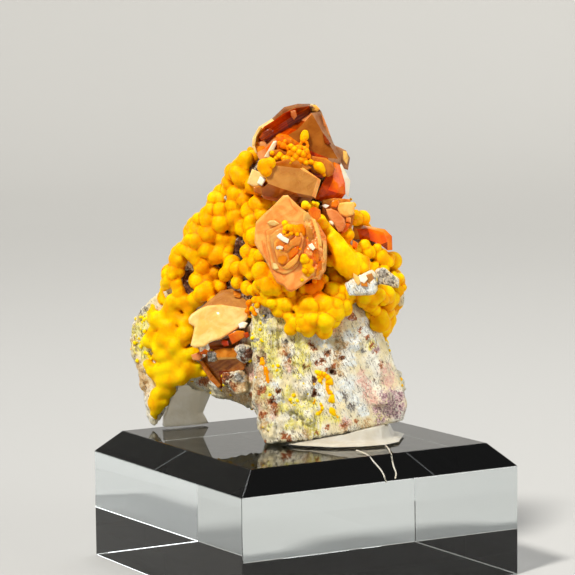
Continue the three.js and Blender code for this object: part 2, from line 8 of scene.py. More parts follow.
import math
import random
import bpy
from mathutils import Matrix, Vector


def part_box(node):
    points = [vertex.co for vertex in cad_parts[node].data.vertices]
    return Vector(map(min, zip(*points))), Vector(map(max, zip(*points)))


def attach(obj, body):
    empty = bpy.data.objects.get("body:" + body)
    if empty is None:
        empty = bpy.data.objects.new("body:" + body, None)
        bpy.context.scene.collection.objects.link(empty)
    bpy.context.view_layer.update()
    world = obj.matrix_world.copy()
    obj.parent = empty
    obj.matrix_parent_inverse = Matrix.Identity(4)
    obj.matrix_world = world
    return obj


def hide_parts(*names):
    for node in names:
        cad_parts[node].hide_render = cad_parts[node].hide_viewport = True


bl_info = {
    "name": "Wulfenite and mimetite specimen",
    "version": (1, 0, 0),
    "blender": (4, 5, 0),
    "location": "3D View > Sidebar > Specimen",
    "description": "Orange crystals and a yellow crust of balls on pale rock, glued on a clear block",
    "category": "Object",
}

from itertools import product

import bmesh
import bpy
import numpy as np
from bpy.props import FloatProperty, FloatVectorProperty, PointerProperty
from mathutils import Matrix, Vector, geometry, kdtree, noise
from mathutils.bvhtree import BVHTree

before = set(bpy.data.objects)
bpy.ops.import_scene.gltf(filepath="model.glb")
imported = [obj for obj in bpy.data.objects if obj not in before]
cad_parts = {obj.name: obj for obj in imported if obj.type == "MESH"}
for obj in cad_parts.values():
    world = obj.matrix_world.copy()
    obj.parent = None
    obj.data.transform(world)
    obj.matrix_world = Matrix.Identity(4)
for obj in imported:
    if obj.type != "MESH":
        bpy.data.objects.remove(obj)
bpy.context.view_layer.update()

MM = 0.001
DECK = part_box("display_block")[1].z
SPECIMEN_TURN = math.radians(-30.2)
SPECIMEN = Matrix.Translation((0, 0, DECK)) @ Matrix.Rotation(SPECIMEN_TURN, 4, "Z") @ Matrix.Scale(MM, 4)
TO_SPECIMEN = SPECIMEN.inverted()

# ---------- the camera, from which the places given as u and v are seen ----------

PICTURE = 575
FOCAL = 2491  # in picture points
POINTS_PER_MM = 6.23
CAMERA_PITCH = math.radians(6.0)
CAMERA_ROLL = math.radians(-0.57)
CAMERA_DISTANCE = 400 * MM
CAMERA_AIM = Vector((-1.685, 0.981, 45.25)) * MM
SENSOR = 36  # millimetres across, the picture's long side


def camera_axes():
    """The camera's right, up and back directions in the row frame."""
    level_right = Vector((math.cos(SPECIMEN_TURN), math.sin(SPECIMEN_TURN), 0))
    behind = Vector((math.sin(SPECIMEN_TURN), -math.cos(SPECIMEN_TURN), 0))
    back = math.cos(CAMERA_PITCH) * behind + math.sin(CAMERA_PITCH) * Vector((0, 0, 1))
    level_up = back.cross(level_right)
    c, s = math.cos(CAMERA_ROLL), math.sin(CAMERA_ROLL)
    return c * level_right + s * level_up, c * level_up - s * level_right, back


RIGHTWARDS, UPWARDS, BACKWARDS = camera_axes()
CAMERA_PLACE = CAMERA_AIM + BACKWARDS * CAMERA_DISTANCE
EYE = TO_SPECIMEN @ CAMERA_PLACE


def sight(u, v):
    """Direction in the specimen's frame in which the camera sees a place of the picture."""
    offset = RIGHTWARDS * ((u - PICTURE / 2) / FOCAL) + UPWARDS * ((PICTURE / 2 - v) / FOCAL)
    return (TO_SPECIMEN.to_3x3() @ (offset - BACKWARDS)).normalized()


def seen_at(u, v, y):
    """Point of the specimen's frame that is seen at u, v and lies y millimetres back."""
    ray = sight(u, v)
    return EYE + ray * ((y - EYE.y) / ray.y)


def picture_places(points):
    """The u and v at which the camera sees an array of points of the specimen's frame."""
    away = (np.asarray(points) - np.array(EYE)) @ np.array(SPECIMEN.to_3x3()).T
    across, up, ahead = (away @ np.array(axis) for axis in (RIGHTWARDS, UPWARDS, -BACKWARDS))
    return PICTURE / 2 + FOCAL * across / ahead, PICTURE / 2 - FOCAL * up / ahead


# ---------- node trees ----------

GROWTH_SLOPE = math.radians(-32)  # the crystals' growth lines rise this much to the right


class Nodes:
    """Adds nodes to one tree. An input is given by name or number, as a value or as a socket to link."""

    def __init__(self, tree):
        self.tree = tree

    def feed(self, node, inputs):
        for key, value in inputs.items():
            if isinstance(value, bpy.types.NodeSocket):
                self.tree.links.new(value, node.inputs[key])
            else:
                node.inputs[key].default_value = value
        return node

    def add(self, kind, inputs=None, **settings):
        node = self.tree.nodes.new(kind)
        for key, value in settings.items():
            setattr(node, key, value)
        return self.feed(node, inputs or {})

    def mix(self, factor, first, second):
        return self.add("ShaderNodeMix", {0: factor, 6: first, 7: second}, data_type="RGBA").outputs[2]

    def math(self, operation, first, second=0.0):
        return self.add("ShaderNodeMath", {0: first, 1: second}, operation=operation).outputs[0]

    def times(self, first, second):
        return self.math("MULTIPLY", first, second)

    def laid(self, base, colour, mask, share):
        """The base with a colour over it where a mask says, up to a share."""
        return self.mix(self.times(mask, share), base, colour)

    def noise(self, vector, scale, detail=4.0, roughness=0.55, distortion=0.0):
        inputs = {"Vector": vector, "Scale": scale, "Detail": detail}
        inputs |= {"Roughness": roughness, "Distortion": distortion}
        return self.add("ShaderNodeTexNoise", inputs).outputs[0]

    def step(self, value, low, high, to_low=0.0, to_high=1.0):
        inputs = {"Value": value, "From Min": low, "From Max": high, "To Min": to_low, "To Max": to_high}
        return self.add("ShaderNodeMapRange", inputs, interpolation_type="SMOOTHSTEP").outputs[0]

    def attribute(self, name):
        return self.add("ShaderNodeAttribute", attribute_name=name).outputs["Fac"]

    def place(self):
        """A surface's place in the specimen's own millimetres."""
        turned = {
            "Vector": self.add("ShaderNodeTexCoord").outputs["Object"],
            "Location": (0, 0, -DECK / MM),
            "Rotation": (0, 0, -SPECIMEN_TURN),
            "Scale": (1 / MM,) * 3,
        }
        return self.add("ShaderNodeMapping", turned).outputs[0]

    def drawn_out(self, place, turn, scale):
        """A place turned and stretched, so that a pattern on it runs in one direction."""
        inputs = {"Vector": place, "Rotation": turn, "Scale": tuple(1 / share for share in scale)}
        return self.add("ShaderNodeMapping", inputs, vector_type="TEXTURE").outputs[0]

    def bump(self, height, distance, strength):
        inputs = {"Height": height, "Distance": distance, "Strength": strength}
        return self.add("ShaderNodeBump", inputs).outputs[0]

    def absorption(self, colour, density):
        return self.add("ShaderNodeVolumeAbsorption", {"Color": colour, "Density": density}).outputs[0]

    def named(self, attribute):
        """A geometry's own attribute, by its name."""
        return self.add("GeometryNodeInputNamedAttribute", {"Name": attribute}).outputs["Attribute"]

    def scattered(self, given, density, where):
        """The node that spreads points over a surface, no two nearer than a spacing."""
        inputs = {"Mesh": given["Surface"], "Distance Min": given["Spacing"], "Seed": given["Seed"]}
        inputs |= {"Density Max": density, **where}
        return self.add("GeometryNodeDistributePointsOnFaces", inputs, distribute_method="POISSON")

    def completed(self, geometry, finish=None):
        """A geometry with its instances made real, and with its finish."""
        whole = self.add("GeometryNodeRealizeInstances", {"Geometry": geometry}).outputs[0]
        if finish is None:
            return whole
        return self.add("GeometryNodeSetMaterial", {"Geometry": whole, "Material": finish}).outputs[0]


def new_tree(name, kind, inputs, output):
    """A node group: its nodes, its inputs and its output node."""
    tree = bpy.data.node_groups.new(name, kind)
    for label, socket, value in inputs:
        made = tree.interface.new_socket(label, in_out="INPUT", socket_type="NodeSocket" + socket)
        if value is not None:
            made.default_value = value
    for label, socket in output.items():
        tree.interface.new_socket(label, in_out="OUTPUT", socket_type="NodeSocket" + socket)
    return Nodes(tree), tree.nodes.new("NodeGroupInput").outputs, tree.nodes.new("NodeGroupOutput")


def built_once(build):
    """Turns a function that builds a node group of its own name into one that builds it only once."""

    def group():
        name = build.__name__
        return bpy.data.node_groups[name] if name in bpy.data.node_groups else build(name)

    return group


@built_once
def ragged_patch(name):
    """Shader group that turns a soft mask into one with a ragged, speckled edge."""
    sockets = [
        ("Mask", "Float", 0.0), ("Place", "Vector", None), ("Grain", "Float", 1.5),
        ("Sharpness", "Float", 0.2),
    ]
    n, given, results = new_tree(name, "ShaderNodeTree", sockets, {"Patch": "Float"})
    middle = 0.42
    ragged = n.noise(given["Place"], given["Grain"], 6.0, 0.65)
    centred = n.times(n.math("SUBTRACT", ragged, 0.5), 3.4)
    reach = n.math("MINIMUM", n.times(given["Mask"], 1.7), 1.0)
    spread = n.math("ADD", n.times(given["Mask"], 0.8), n.times(centred, reach))
    low = n.math("SUBTRACT", middle, given["Sharpness"])
    high = n.math("ADD", middle, given["Sharpness"])
    n.feed(results, {"Patch": n.step(spread, low, high)})
    return n.tree


@built_once
def crystal_growth(name):
    """Shader group of wulfenite's growth lines and clouds, toned between a light and a deep colour, with
    veins and painted foot shade where its Mark says.
    """
    sockets = [
        ("Place", "Vector", None), ("Light", "Color", None), ("Deep", "Color", None),
        ("Vein", "Color", None), ("Lined", "Float", 0.15), ("Mark", "Float", 0.0),
    ]
    outputs = {"Colour": "Color", "Lines": "Float", "Clouds": "Float"}
    n, given, results = new_tree(name, "ShaderNodeTree", sockets, outputs)
    drawn = n.drawn_out(given["Place"], (0, GROWTH_SLOPE, 0), (0.14, 0.5, 3.0))
    lines = n.noise(drawn, 1.0, 4.0, 0.6)
    clouds = n.noise(given["Place"], 0.35, 5.0, 0.6, 0.8)
    apart = n.math("SUBTRACT", 1.0, given["Lined"])
    blend = n.math("ADD", n.times(lines, given["Lined"]), n.times(clouds, apart))
    tone = n.mix(n.step(blend, 0.36, 0.64), given["Light"], given["Deep"])
    # veins, and painted shade at the feet of the plates that stand on a crystal
    veins_and_shade = n.mix(0.5, given["Deep"], given["Vein"])
    n.feed(results, {"Colour": n.laid(tone, veins_and_shade, given["Mark"], 0.9), "Lines": lines, "Clouds": clouds})
    return n.tree


def new_material(name):
    """A material's nodes, its Principled shader and its output."""
    material = bpy.data.materials.new(name)
    material.use_nodes = True
    tree = material.node_tree
    return material, Nodes(tree), tree.nodes["Principled BSDF"], tree.nodes["Material Output"]


# ---------- finishes ----------


def rgb(code):
    """A linear colour from its usual hexadecimal code."""
    values = [int(code[i : i + 2], 16) / 255 for i in (0, 2, 4)]
    return tuple(v / 12.92 if v <= 0.04045 else ((v + 0.055) / 1.055) ** 2.4 for v in values) + (1.0,)


def colour_of(name):
    """A colour of the specimen's settings."""
    return tuple(getattr(bpy.context.scene.specimen_colours, name))


def shades_of(name):
    """The light and the deep colour of one finish or stain."""
    return colour_of(name + "_light"), colour_of(name + "_deep")


def rock_finish():
    """Altered rock: pale cream and white, with stains and painted shade laid where the mesh's attributes
    say.
    """
    material, n, shader, _ = new_material("altered_rock")
    place = n.place()
    bedding = n.drawn_out(place, (0, -BEDDING_SLOPE, 0), (1.0, 0.7, 0.3))
    ribbed = n.drawn_out(place, (0, RIB_SLOPE, 0), (1.2, 0.9, 0.2))
    cloud = n.noise(place, 0.3, 5.0, 0.6)
    grain = n.noise(place, 2.6, 6.0, 0.72)
    streaks = n.noise(bedding, 1.6, 6.0, 0.7)
    shade, line, dark = (colour_of("rock_" + part) for part in ("shade", "line", "dark"))
    base = n.mix(n.step(cloud, 0.38, 0.62), colour_of("rock_cream"), colour_of("rock_white"))
    base = n.laid(base, shade, n.step(streaks, 0.5, 0.74), 0.6)
    base = n.laid(base, shade, n.step(grain, 0.56, 0.7), 0.6)
    # the stains, each with its grain's direction and size, its cover and how soft its edge is
    stains = [
        ("white", place, 1.4, 0.9, 0.25), ("ochre", place, 2.6, 1.3, 0.35),
        ("blush", bedding, 4.0, 1.0, 0.4), ("moss", ribbed, 2.0, 1.25, 0.4),
        ("mauve", place, 3.6, 1.0, 0.3), ("grey", place, 3.2, 1.3, 0.2),
        ("brown", place, 1.8, 1.5, 0.2), ("rust", place, 3.2, 1.25, 0.2),
    ]
    for attribute, grain_place, grain_size, cover, softness in stains:
        inputs = {"Mask": n.times(n.attribute(attribute), cover), "Place": grain_place}
        inputs |= {"Grain": grain_size, "Sharpness": softness}
        patch = n.add("ShaderNodeGroup", inputs, node_tree=ragged_patch()).outputs["Patch"]
        base = n.mix(patch, base, n.mix(n.step(grain, 0.36, 0.64), *shades_of(attribute)))
    # thin dark lines, painted shade along the ribs, strokes and specks
    lines = n.math("ABSOLUTE", n.math("SUBTRACT", n.noise(bedding, 1.1, 4.0, 0.6, 0.4), 0.5))
    base = n.laid(base, line, n.times(n.step(lines, 0.02, 0.003), n.step(cloud, 0.4, 0.54)), 0.75)
    # painted shade in the grooves between the foot's ribs, where the yellow film is
    ribs = n.step(n.noise(ribbed, 2.2, 4.0, 0.6), 0.58, 0.66)
    base = n.laid(base, line, n.times(ribs, n.step(n.attribute("moss"), 0.02, 0.2)), 0.55)
    where = n.step(n.noise(place, 0.7, 3.0), 0.4, 0.58)
    strokes = n.noise(n.drawn_out(place, (0, -BEDDING_SLOPE, 0), (4.2, 3.0, 0.8)), 1.0, 3.0, 0.6)
    base = n.laid(base, line, n.times(n.step(strokes, 0.57, 0.63), where), 0.85)
    base = n.laid(base, dark, n.step(n.noise(place, 4.2, 2.0, 0.5), 0.66, 0.71), 0.7)
    # painted shade in the holes
    base = n.laid(base, dark, n.attribute("pit"), 0.75)
    crumbs = n.math("ADD", n.noise(place, 4.0, 8.0, 0.72), n.times(streaks, 0.9))
    rough = {"Roughness": 0.85, "Specular IOR Level": 0.3, "Normal": n.bump(crumbs, 0.32 * MM, 0.8)}
    n.feed(shader, {"Base Color": base} | rough)
    return material


def mimetite_finish():
    """Waxy yellow balls with painted shade: orange in the creases between them and dark in the deepest
    recesses.
    """
    material, n, shader, _ = new_material("waxy_mimetite")
    place = n.place()
    crease, warmth, recess = (n.attribute(name) for name in ("crease", "warmth", "recess"))
    orange, cleft_shade = colour_of("ball_orange"), colour_of("ball_cleft")
    cloud = n.noise(place, 0.5, 3.0, 0.5)
    yellow = n.mix(n.step(cloud, 0.35, 0.65), colour_of("ball_yellow"), colour_of("ball_golden"))
    tone = n.mix(n.step(warmth, 0.4, 1.0), yellow, orange)
    tone = n.mix(n.step(warmth, 0.3, 0.0), tone, colour_of("ball_lemon"))
    # painted shade: orange in the creases between balls, darker in their clefts
    shaded = n.mix(warmth, colour_of("ball_crease"), orange)
    tone = n.laid(tone, shaded, n.step(crease, 0.7, 0.0), 0.85)
    tone = n.laid(tone, cleft_shade, n.step(crease, 0.2, 0.0), 0.5)
    # painted shade in the recesses, where the crust's own balls close the ways out
    tone = n.laid(tone, cleft_shade, n.step(recess, 0.3, 1.0), 0.8)
    wax = {
        "Base Color": tone,
        "Roughness": 0.42,
        "Subsurface Weight": 0.45,
        "Subsurface Scale": 1.0 * MM,
        "Subsurface Radius": (1.0, 0.55, 0.05),
        "Specular IOR Level": 0.05,
        "Normal": n.bump(n.noise(place, 3.5, 4.0, 0.6), 0.12 * MM, 0.6),
    }
    n.feed(shader, wax)
    return material


def crystal_finish(tone, glassy, absorb, rough, lined=0.15):
    """Wulfenite of one tone; glassy is its see-through share."""
    material, n, shader, output = new_material("wulfenite_" + tone)
    light, deep = shades_of(tone)
    inputs = {"Place": n.place(), "Light": light, "Deep": deep, "Vein": colour_of("vein")}
    inputs |= {"Lined": lined, "Mark": n.attribute("mark")}
    growth = n.add("ShaderNodeGroup", inputs, node_tree=crystal_growth()).outputs
    crystal = {
        "Base Color": growth["Colour"],
        "IOR": 1.6,
        "Transmission Weight": glassy,
        "Specular IOR Level": 0.12,
        "Coat Weight": 0.05,
        "Coat Roughness": 0.08,
        "Subsurface Weight": 0.35,
        "Subsurface Scale": 1.2 * MM,
        "Subsurface Radius": (1.0, 0.6, 0.3),
        "Roughness": n.step(growth["Clouds"], 0.3, 0.7, rough * 0.6, rough * 1.6),
        "Normal": n.bump(growth["Lines"], 0.05 * MM, 0.4),
    }
    n.feed(shader, crystal)
    if absorb:
        n.feed(output, {"Volume": n.absorption(deep, absorb)})
    return material


# The wulfenite's tones: light and deep colour, see-through share, absorption per metre, roughness and,
# where it isn't the usual one, share of growth lines.
CRYSTAL_TONES = {
    "peach": ("FFBA62", "F78E3C", 0.06, 0.0, 0.2),
    "rind": ("FFB04C", "F47A1E", 0.06, 0.0, 0.2),
    "straw": ("FFCC70", "F8AC48", 0.06, 0.0, 0.2),
    "pale": ("FFD88E", "FFBC60", 0.06, 0.0, 0.14),
    # near-white plates whose colour paints highlights: painted glints
    "glint": ("FFF6E2", "FFE6BC", 0.05, 0.0, 0.06),
    "pink": ("EEA060", "D87C3C", 0.1, 0.0, 0.18),
    "rosy": ("BC8C60", "9A623C", 0.12, 0.0, 0.25),
    "honey": ("CE9248", "B47430", 0.12, 0.0, 0.2),
    "tan": ("B46A22", "9A5212", 0.15, 60.0, 0.14),
    "amber": ("E4902E", "C0640C", 0.15, 60.0, 0.12),
    "smoky": ("A4601C", "743A08", 0.08, 80.0, 0.14),
    "umber": ("CC8034", "8E4612", 0.12, 80.0, 0.2, 0.4),
    "dusk": ("BE4E08", "722000", 0.15, 80.0, 0.14, 0.6),
    "orange": ("FC8E14", "EA6000", 0.12, 60.0, 0.14),
    "deep": ("E85800", "A42600", 0.15, 80.0, 0.12, 0.45),
    # bright orange that paints light shining through the crystal: painted glow
    "glow": ("FF7C00", "EE4A00", 0.12, 60.0, 0.12),
}
HAZE_DENSITY = 60.0  # how fast the glue dims light, per metre
ACRYLIC_DENSITY = 9.0


def glue_finish():
    """Hot glue: milky and see-through."""
    material, n, shader, output = new_material("milky_glue")
    place = n.place()
    milk = n.step(n.noise(place, 0.3, 3.0), 0.35, 0.65)
    glue = {
        "Base Color": n.mix(milk, *shades_of("glue")),
        "Roughness": 0.22,
        "IOR": 1.48,
        "Transmission Weight": 0.5,
        "Normal": n.bump(n.noise(place, 0.8, 3.0), 0.3 * MM, 0.4),
    }
    n.feed(shader, glue)
    n.feed(output, {"Volume": n.absorption(colour_of("glue_haze"), HAZE_DENSITY)})
    return material


def acrylic_finish():
    """Polished clear acrylic with faint scratches."""
    material, n, shader, output = new_material("polished_acrylic")
    scratches = n.noise(n.drawn_out(n.place(), (0.4, 0.3, 0.9), (0.06, 3.0, 0.4)), 1.0, 3.0, 0.6)
    acrylic = {
        "Base Color": colour_of("acrylic"),
        "Roughness": n.step(scratches, 0.7, 0.76, 0.006, 0.05),
        "IOR": 1.49,
        "Transmission Weight": 1.0,
    }
    n.feed(shader, acrylic)
    n.feed(output, {"Volume": n.absorption(colour_of("acrylic_depth"), ACRYLIC_DENSITY)})
    return material


def floor_finish():
    """The stage's pale floor."""
    material, n, shader, _ = new_material("pale_floor")
    cloud = n.noise(n.add("ShaderNodeTexCoord").outputs["Object"], 3.0, 2.0)
    tone = n.mix(cloud, colour_of("floor_deep"), colour_of("floor_light"))
    n.feed(shader, {"Base Color": tone, "Roughness": 0.7})
    return material


FINISH_MAKERS = {
    "altered_rock": rock_finish,
    "waxy_mimetite": mimetite_finish,
    "milky_glue": glue_finish,
    "polished_acrylic": acrylic_finish,
}


def finish_of(name):
    """A finish by its name, made when it is first asked for."""
    if name in bpy.data.materials:
        return bpy.data.materials[name]
    tone = name.removeprefix("wulfenite_")
    if tone in CRYSTAL_TONES:
        return crystal_finish(tone, *CRYSTAL_TONES[tone][2:])
    return FINISH_MAKERS[name]()


# ---------- meshes ----------

ALIKE = 0.001 * MM  # points of a CAD node nearer than this are one


def new_piece(name, mesh):
    piece = bpy.data.objects.new(name, mesh)
    bpy.context.scene.collection.objects.link(piece)
    return piece


def piece_of(form, name):
    """A piece made of a bmesh, which is used up."""
    mesh = bpy.data.meshes.new(name)
    form.to_mesh(mesh)
    form.free()
    return new_piece(name, mesh)


def mount(piece, slot, *nodes):
    """Puts a piece on the specimen's body in place of its CAD nodes."""
    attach(piece, "root")
    if nodes:
        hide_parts(*nodes)


def merged_copy(node):
    """A CAD node's mesh as a bmesh with its doubles merged."""
    copy = bmesh.new()
    copy.from_mesh(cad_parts[node].data)
    bmesh.ops.remove_doubles(copy, verts=copy.verts, dist=ALIKE)
    return copy


def tree_of(nodes):
    """Ray and distance tree over CAD nodes, in the specimen's millimetres."""
    corners, faces = [], []
    for node in nodes:
        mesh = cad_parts[node].data
        start = len(corners)
        corners += [TO_SPECIMEN @ v.co for v in mesh.vertices]
        faces += [[start + i for i in p.vertices] for p in mesh.polygons]
    return BVHTree.FromPolygons(corners, faces)


CRUST_TREE = tree_of(["mimetite_crust"])
BODY_TREE = tree_of(["mimetite_crust", "matrix_rock"])
CRYSTAL_TREE = tree_of([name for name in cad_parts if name.startswith("wulfenite")])


def points_tree(places):
    """Tree that finds the nearest of an array of places."""
    near = kdtree.KDTree(len(places))
    for i, place in enumerate(places):
        near.insert(Vector(place), i)
    near.balance()
    return near


def baked(piece):
    """The piece with its modifiers made part of its mesh."""
    depsgraph = bpy.context.evaluated_depsgraph_get()
    mesh = bpy.data.meshes.new_from_object(piece.evaluated_get(depsgraph), depsgraph=depsgraph)
    piece.modifiers.clear()
    spent = piece.data
    piece.data = mesh
    bpy.data.meshes.remove(spent)
    mesh.name = piece.name
    return piece


def modified(piece, kind, **settings):
    """Adds a modifier and makes its result the piece's own mesh."""
    modifier = piece.modifiers.new(kind.title(), kind)
    for key, value in settings.items():
        setattr(modifier, key, value)
    return baked(piece)


def run_tree(piece, tree, values):
    """Runs a geometry node tree on a piece with inputs set by name, and keeps the result as its mesh."""
    modifier = piece.modifiers.new(tree.name, "NODES")
    modifier.node_group = tree
    for item in tree.interface.items_tree:
        if item.in_out == "INPUT" and item.name in values:
            modifier[item.identifier] = values[item.name]
    return baked(piece)


def covered(piece, finish):
    """The piece with one finish all over."""
    mesh = piece.data
    mesh.materials.clear()
    mesh.materials.append(finish_of(finish))
    mesh.polygons.foreach_set("material_index", np.zeros(len(mesh.polygons), dtype=np.int32))
    return piece


def values_of(items, key, width=1, kind=np.float32):
    """One value of each of a mesh's items, in rows of a width."""
    values = np.empty(len(items) * width, dtype=kind)
    items.foreach_get(key, values)
    return values.reshape(-1, width) if width > 1 else values


def write_attribute(mesh, name, values):
    layer = mesh.attributes.get(name) or mesh.attributes.new(name, "FLOAT", "POINT")
    layer.data.foreach_set("value", np.ascontiguousarray(values, dtype=np.float32))


def mesh_places(mesh):
    """The mesh's points as an array in the specimen's millimetres."""
    matrix = np.array(TO_SPECIMEN)
    return values_of(mesh.vertices, "co", 3) @ matrix[:3, :3].T + matrix[:3, 3]


def place_mesh(mesh, places):
    """Moves the mesh's points to an array of places in the specimen's millimetres."""
    matrix = np.array(SPECIMEN)
    moved = np.asarray(places) @ matrix[:3, :3].T + matrix[:3, 3]
    mesh.vertices.foreach_set("co", moved.astype(np.float32).ravel())
    mesh.update()


def facings_of(items):
    """The directions that items of a mesh hold, as an array in the specimen's frame."""
    return values_of(items, "vector", 3) @ np.array(Matrix.Rotation(-SPECIMEN_TURN, 3, "Z")).T


def facing_camera(mesh):
    """How far each of the mesh's points faces the camera, from 0 to 1."""
    away = np.array(sight(PICTURE / 2, PICTURE / 2))
    return np.clip(-(facings_of(mesh.vertex_normals) @ away) * 3, 0, 1)


def round_spot(u, v, spot_u, spot_v, radius):
    """How near picture places are to a spot: 1 in its middle, and soon 0 past its radius."""
    return np.exp(-((u - spot_u) ** 2 + (v - spot_v) ** 2) / radius**2)


# ---------- host rock ----------

# Stains of the rock's front: attribute, then u, v and radius in picture points.
STAINS = {
    "rust": [
        (345, 303, 2.4), (349, 311, 2.4), (354, 320, 2.2), (360, 330, 2), (366, 338, 2.4),
        (371, 345, 2.6), (375, 353, 2.2), (380, 364, 2), (311, 344, 4), (315, 349, 3), (328, 353, 3.6),
        (342, 358, 2.8), (322.5, 361, 3), (317, 363, 2.8), (306, 366, 2.4), (333, 367, 3),
        (326, 369, 2.2), (263, 390, 4.6), (278, 392, 2.8), (274.5, 404, 5), (276, 412, 3.6),
        (263, 416, 3), (270, 400, 3.4), (314, 382, 1.8), (315, 393, 2.6), (286, 353, 2.4), (289, 361, 3),
        (284, 436, 3.4), (290, 440, 3), (326, 428, 3), (316, 432, 2), (345, 426, 3), (356, 424, 2.4),
        (258, 438, 3), (263, 443, 3.4), (288, 309, 3), (344, 312, 2), (350, 317, 2.6), (222, 376, 6),
        (230, 370, 3), (205, 380, 6), (336, 325, 3), (341, 320, 2.5), (252, 395, 3), (233, 388, 5),
    ],
    "moss": [
        (259, 333, 8), (264, 340, 7), (270, 350, 8), (263, 322, 9), (282, 318, 9), (290, 322, 8),
        (298, 326, 8), (303, 330, 6), (300, 345, 7), (304, 355, 6), (296, 338, 7), (275, 335, 7),
        (272, 362, 7), (277, 372, 7), (296, 360, 7), (300, 372, 6), (306, 366, 6), (293, 400, 7),
        (288, 392, 6), (298, 410, 7), (305, 422, 8), (314, 429, 7), (320, 418, 7), (311, 404, 7),
        (283, 408, 6), (268, 392, 6), (270, 425, 4), (290, 425, 5), (335, 418, 6), (140, 330, 9),
        (147, 318, 9), (145, 345, 9), (152, 333, 8), (138, 345, 6), (148, 356, 6), (379, 416, 4),
        (372, 345, 5), (255, 345, 6),
    ],
    "mauve": [
        (390, 402, 9), (398, 398, 7), (400, 408, 7), (388, 412, 8), (396, 414, 7), (380, 420, 6),
        (392, 392, 6), (348, 316, 3.5), (351, 320, 3), (265, 315, 4), (375, 350, 4), (377, 412, 5),
        (384, 396, 5),
    ],
    "blush": [
        (364, 383, 7), (368, 392, 7), (362, 376, 5), (372, 400, 7), (378, 406, 6), (388, 380, 8),
        (384, 370, 6), (340, 318, 6), (289, 368, 5), (273, 414, 4), (257, 410, 6), (344, 422, 6),
        (252, 372, 6), (330, 330, 5),
    ],
    "ochre": [
        (132, 322, 8), (134, 345, 8), (136, 368, 8), (140, 382, 8), (240, 384, 8), (243, 398, 8),
        (232, 395, 8), (262, 345, 7), (266, 360, 6), (268, 375, 7), (290, 365, 6), (284, 350, 6),
        (258, 375, 7), (334, 322, 7), (338, 330, 6), (342, 345, 5), (338, 352, 4), (337, 362, 5),
        (340, 374, 4), (262, 400, 6), (258, 415, 6), (268, 412, 5), (256, 388, 5), (345, 427, 5),
        (366, 424, 5), (226, 388, 7), (245, 375, 8), (135, 315, 7), (131, 330, 5), (138, 390, 9),
        (252, 360, 6), (262, 425, 6), (308, 432, 6), (142, 372, 6), (136, 400, 6),
    ],
    "white": [
        (312, 334, 7), (320, 341, 7), (328, 346, 5), (306, 334, 5), (350, 335, 9), (356, 345, 8),
        (347, 385, 9), (354, 400, 8), (362, 410, 7), (350, 362, 7), (276, 378, 5), (276, 385, 5),
        (368, 330, 7), (374, 345, 6), (150, 362, 7), (152, 372, 7), (352, 300, 7), (365, 318, 7),
        (319, 386, 4), (320, 396, 4), (295, 415, 5), (280, 400, 5), (340, 396, 6), (360, 285, 9),
        (350, 290, 7), (370, 286, 7), (238, 377, 6), (246, 376, 5),
    ],
    "grey": [
        (212, 357, 5), (244, 352, 6), (240, 378, 5), (266, 316, 5), (272, 313, 4), (278, 309, 4),
        (265, 322, 3), (286, 343, 3), (289, 357, 3), (383, 273, 6), (391, 279, 6), (379, 280, 5),
        (211, 357, 6), (240, 345, 5), (388, 284, 6), (146, 307, 4), (139, 312, 4), (214, 344, 5),
        (350, 407, 4), (346, 398, 3), (245, 353, 8), (364, 352, 2), (318, 395, 2), (300, 379, 2),
        (252, 350, 5), (255, 340, 3), (226, 378, 4), (238, 378, 5),
    ],
    # brown rock in the crust's gaps and in some holes; its near-black deep tone is painted shade
    "brown": [
        (314, 379, 2.6), (315, 390, 2.4), (314, 395, 3), (277.5, 393, 2.2), (331, 371, 2.6),
        (334, 373, 2.4), (274, 403, 3), (262, 358, 3), (188, 276, 9), (190, 288, 7), (202, 210, 7),
        (250, 206, 8), (240, 258, 13), (238, 246, 11), (226, 262, 8), (204, 247, 7), (225, 283, 6),
        (331, 252, 9), (330, 264, 8), (225, 378, 7), (215, 372, 8), (212, 232, 6), (231, 229, 6),
        (245, 237, 6), (312, 441, 4), (262, 446, 6), (248, 352, 5), (244, 362, 5),
    ],
}
# Holes: u, v, radius and depth, the depth in millimetres. Each hole also gets painted shade.
HOLES = [
    (311, 344, 2.2, 0.5), (315.5, 349, 1.5, 0.3), (328, 353, 2.2, 0.4), (322.5, 361, 1.4, 0.5),
    (317, 363, 1.4, 0.5), (331.5, 372, 3.4, 1.3), (342, 357.5, 1.2, 0.4), (314, 380, 1.2, 0.6),
    (314, 387, 1.5, 0.8), (315, 394, 1.8, 0.9), (263, 347, 2, 0.9), (262.5, 353, 2.2, 1),
    (262, 358, 1.6, 0.8), (286, 343, 1.9, 0.7), (289, 357, 1.8, 0.6), (278, 392, 1.8, 0.7),
    (262, 390, 1.7, 0.6), (256, 391, 1.2, 0.6), (338, 383, 1, 0.5), (369, 341, 1.4, 0.6),
    (371, 347, 1, 0.5), (384, 276, 2, 0.8), (391, 283, 1.6, 0.7), (378, 279, 1.4, 0.6),
    (394, 284, 1.6, 0.6), (272, 402, 2, 0.7), (277, 414, 1.8, 0.6), (266, 316, 2, 0.7),
    (274, 311, 1.8, 0.6), (349, 316, 1.4, 0.4), (140, 322, 2, 0.7), (146, 311, 2, 0.7),
    (240, 262, 6, 1.8), (236, 250, 5, 1.6), (228, 262, 4, 1.4), (205, 248, 3, 1.4), (225, 282, 2.5, 1.2),
    (304, 366, 1.2, 0.4), (300, 350, 1.2, 0.4), (282, 372, 1.2, 0.4), (288, 380, 1.2, 0.4),
    (293, 432, 1.6, 0.5), (309, 436, 1.4, 0.4), (372, 360, 1, 0.4), (360, 350, 0.9, 0.3),
    (190, 276, 2.2, 1), (187, 284, 1.6, 0.8), (192, 288, 1.4, 0.7), (211, 357, 1.4, 0.5),
    (245, 352, 1.6, 0.6), (238, 384, 1.4, 0.5), (226, 377, 1.5, 0.6),
]
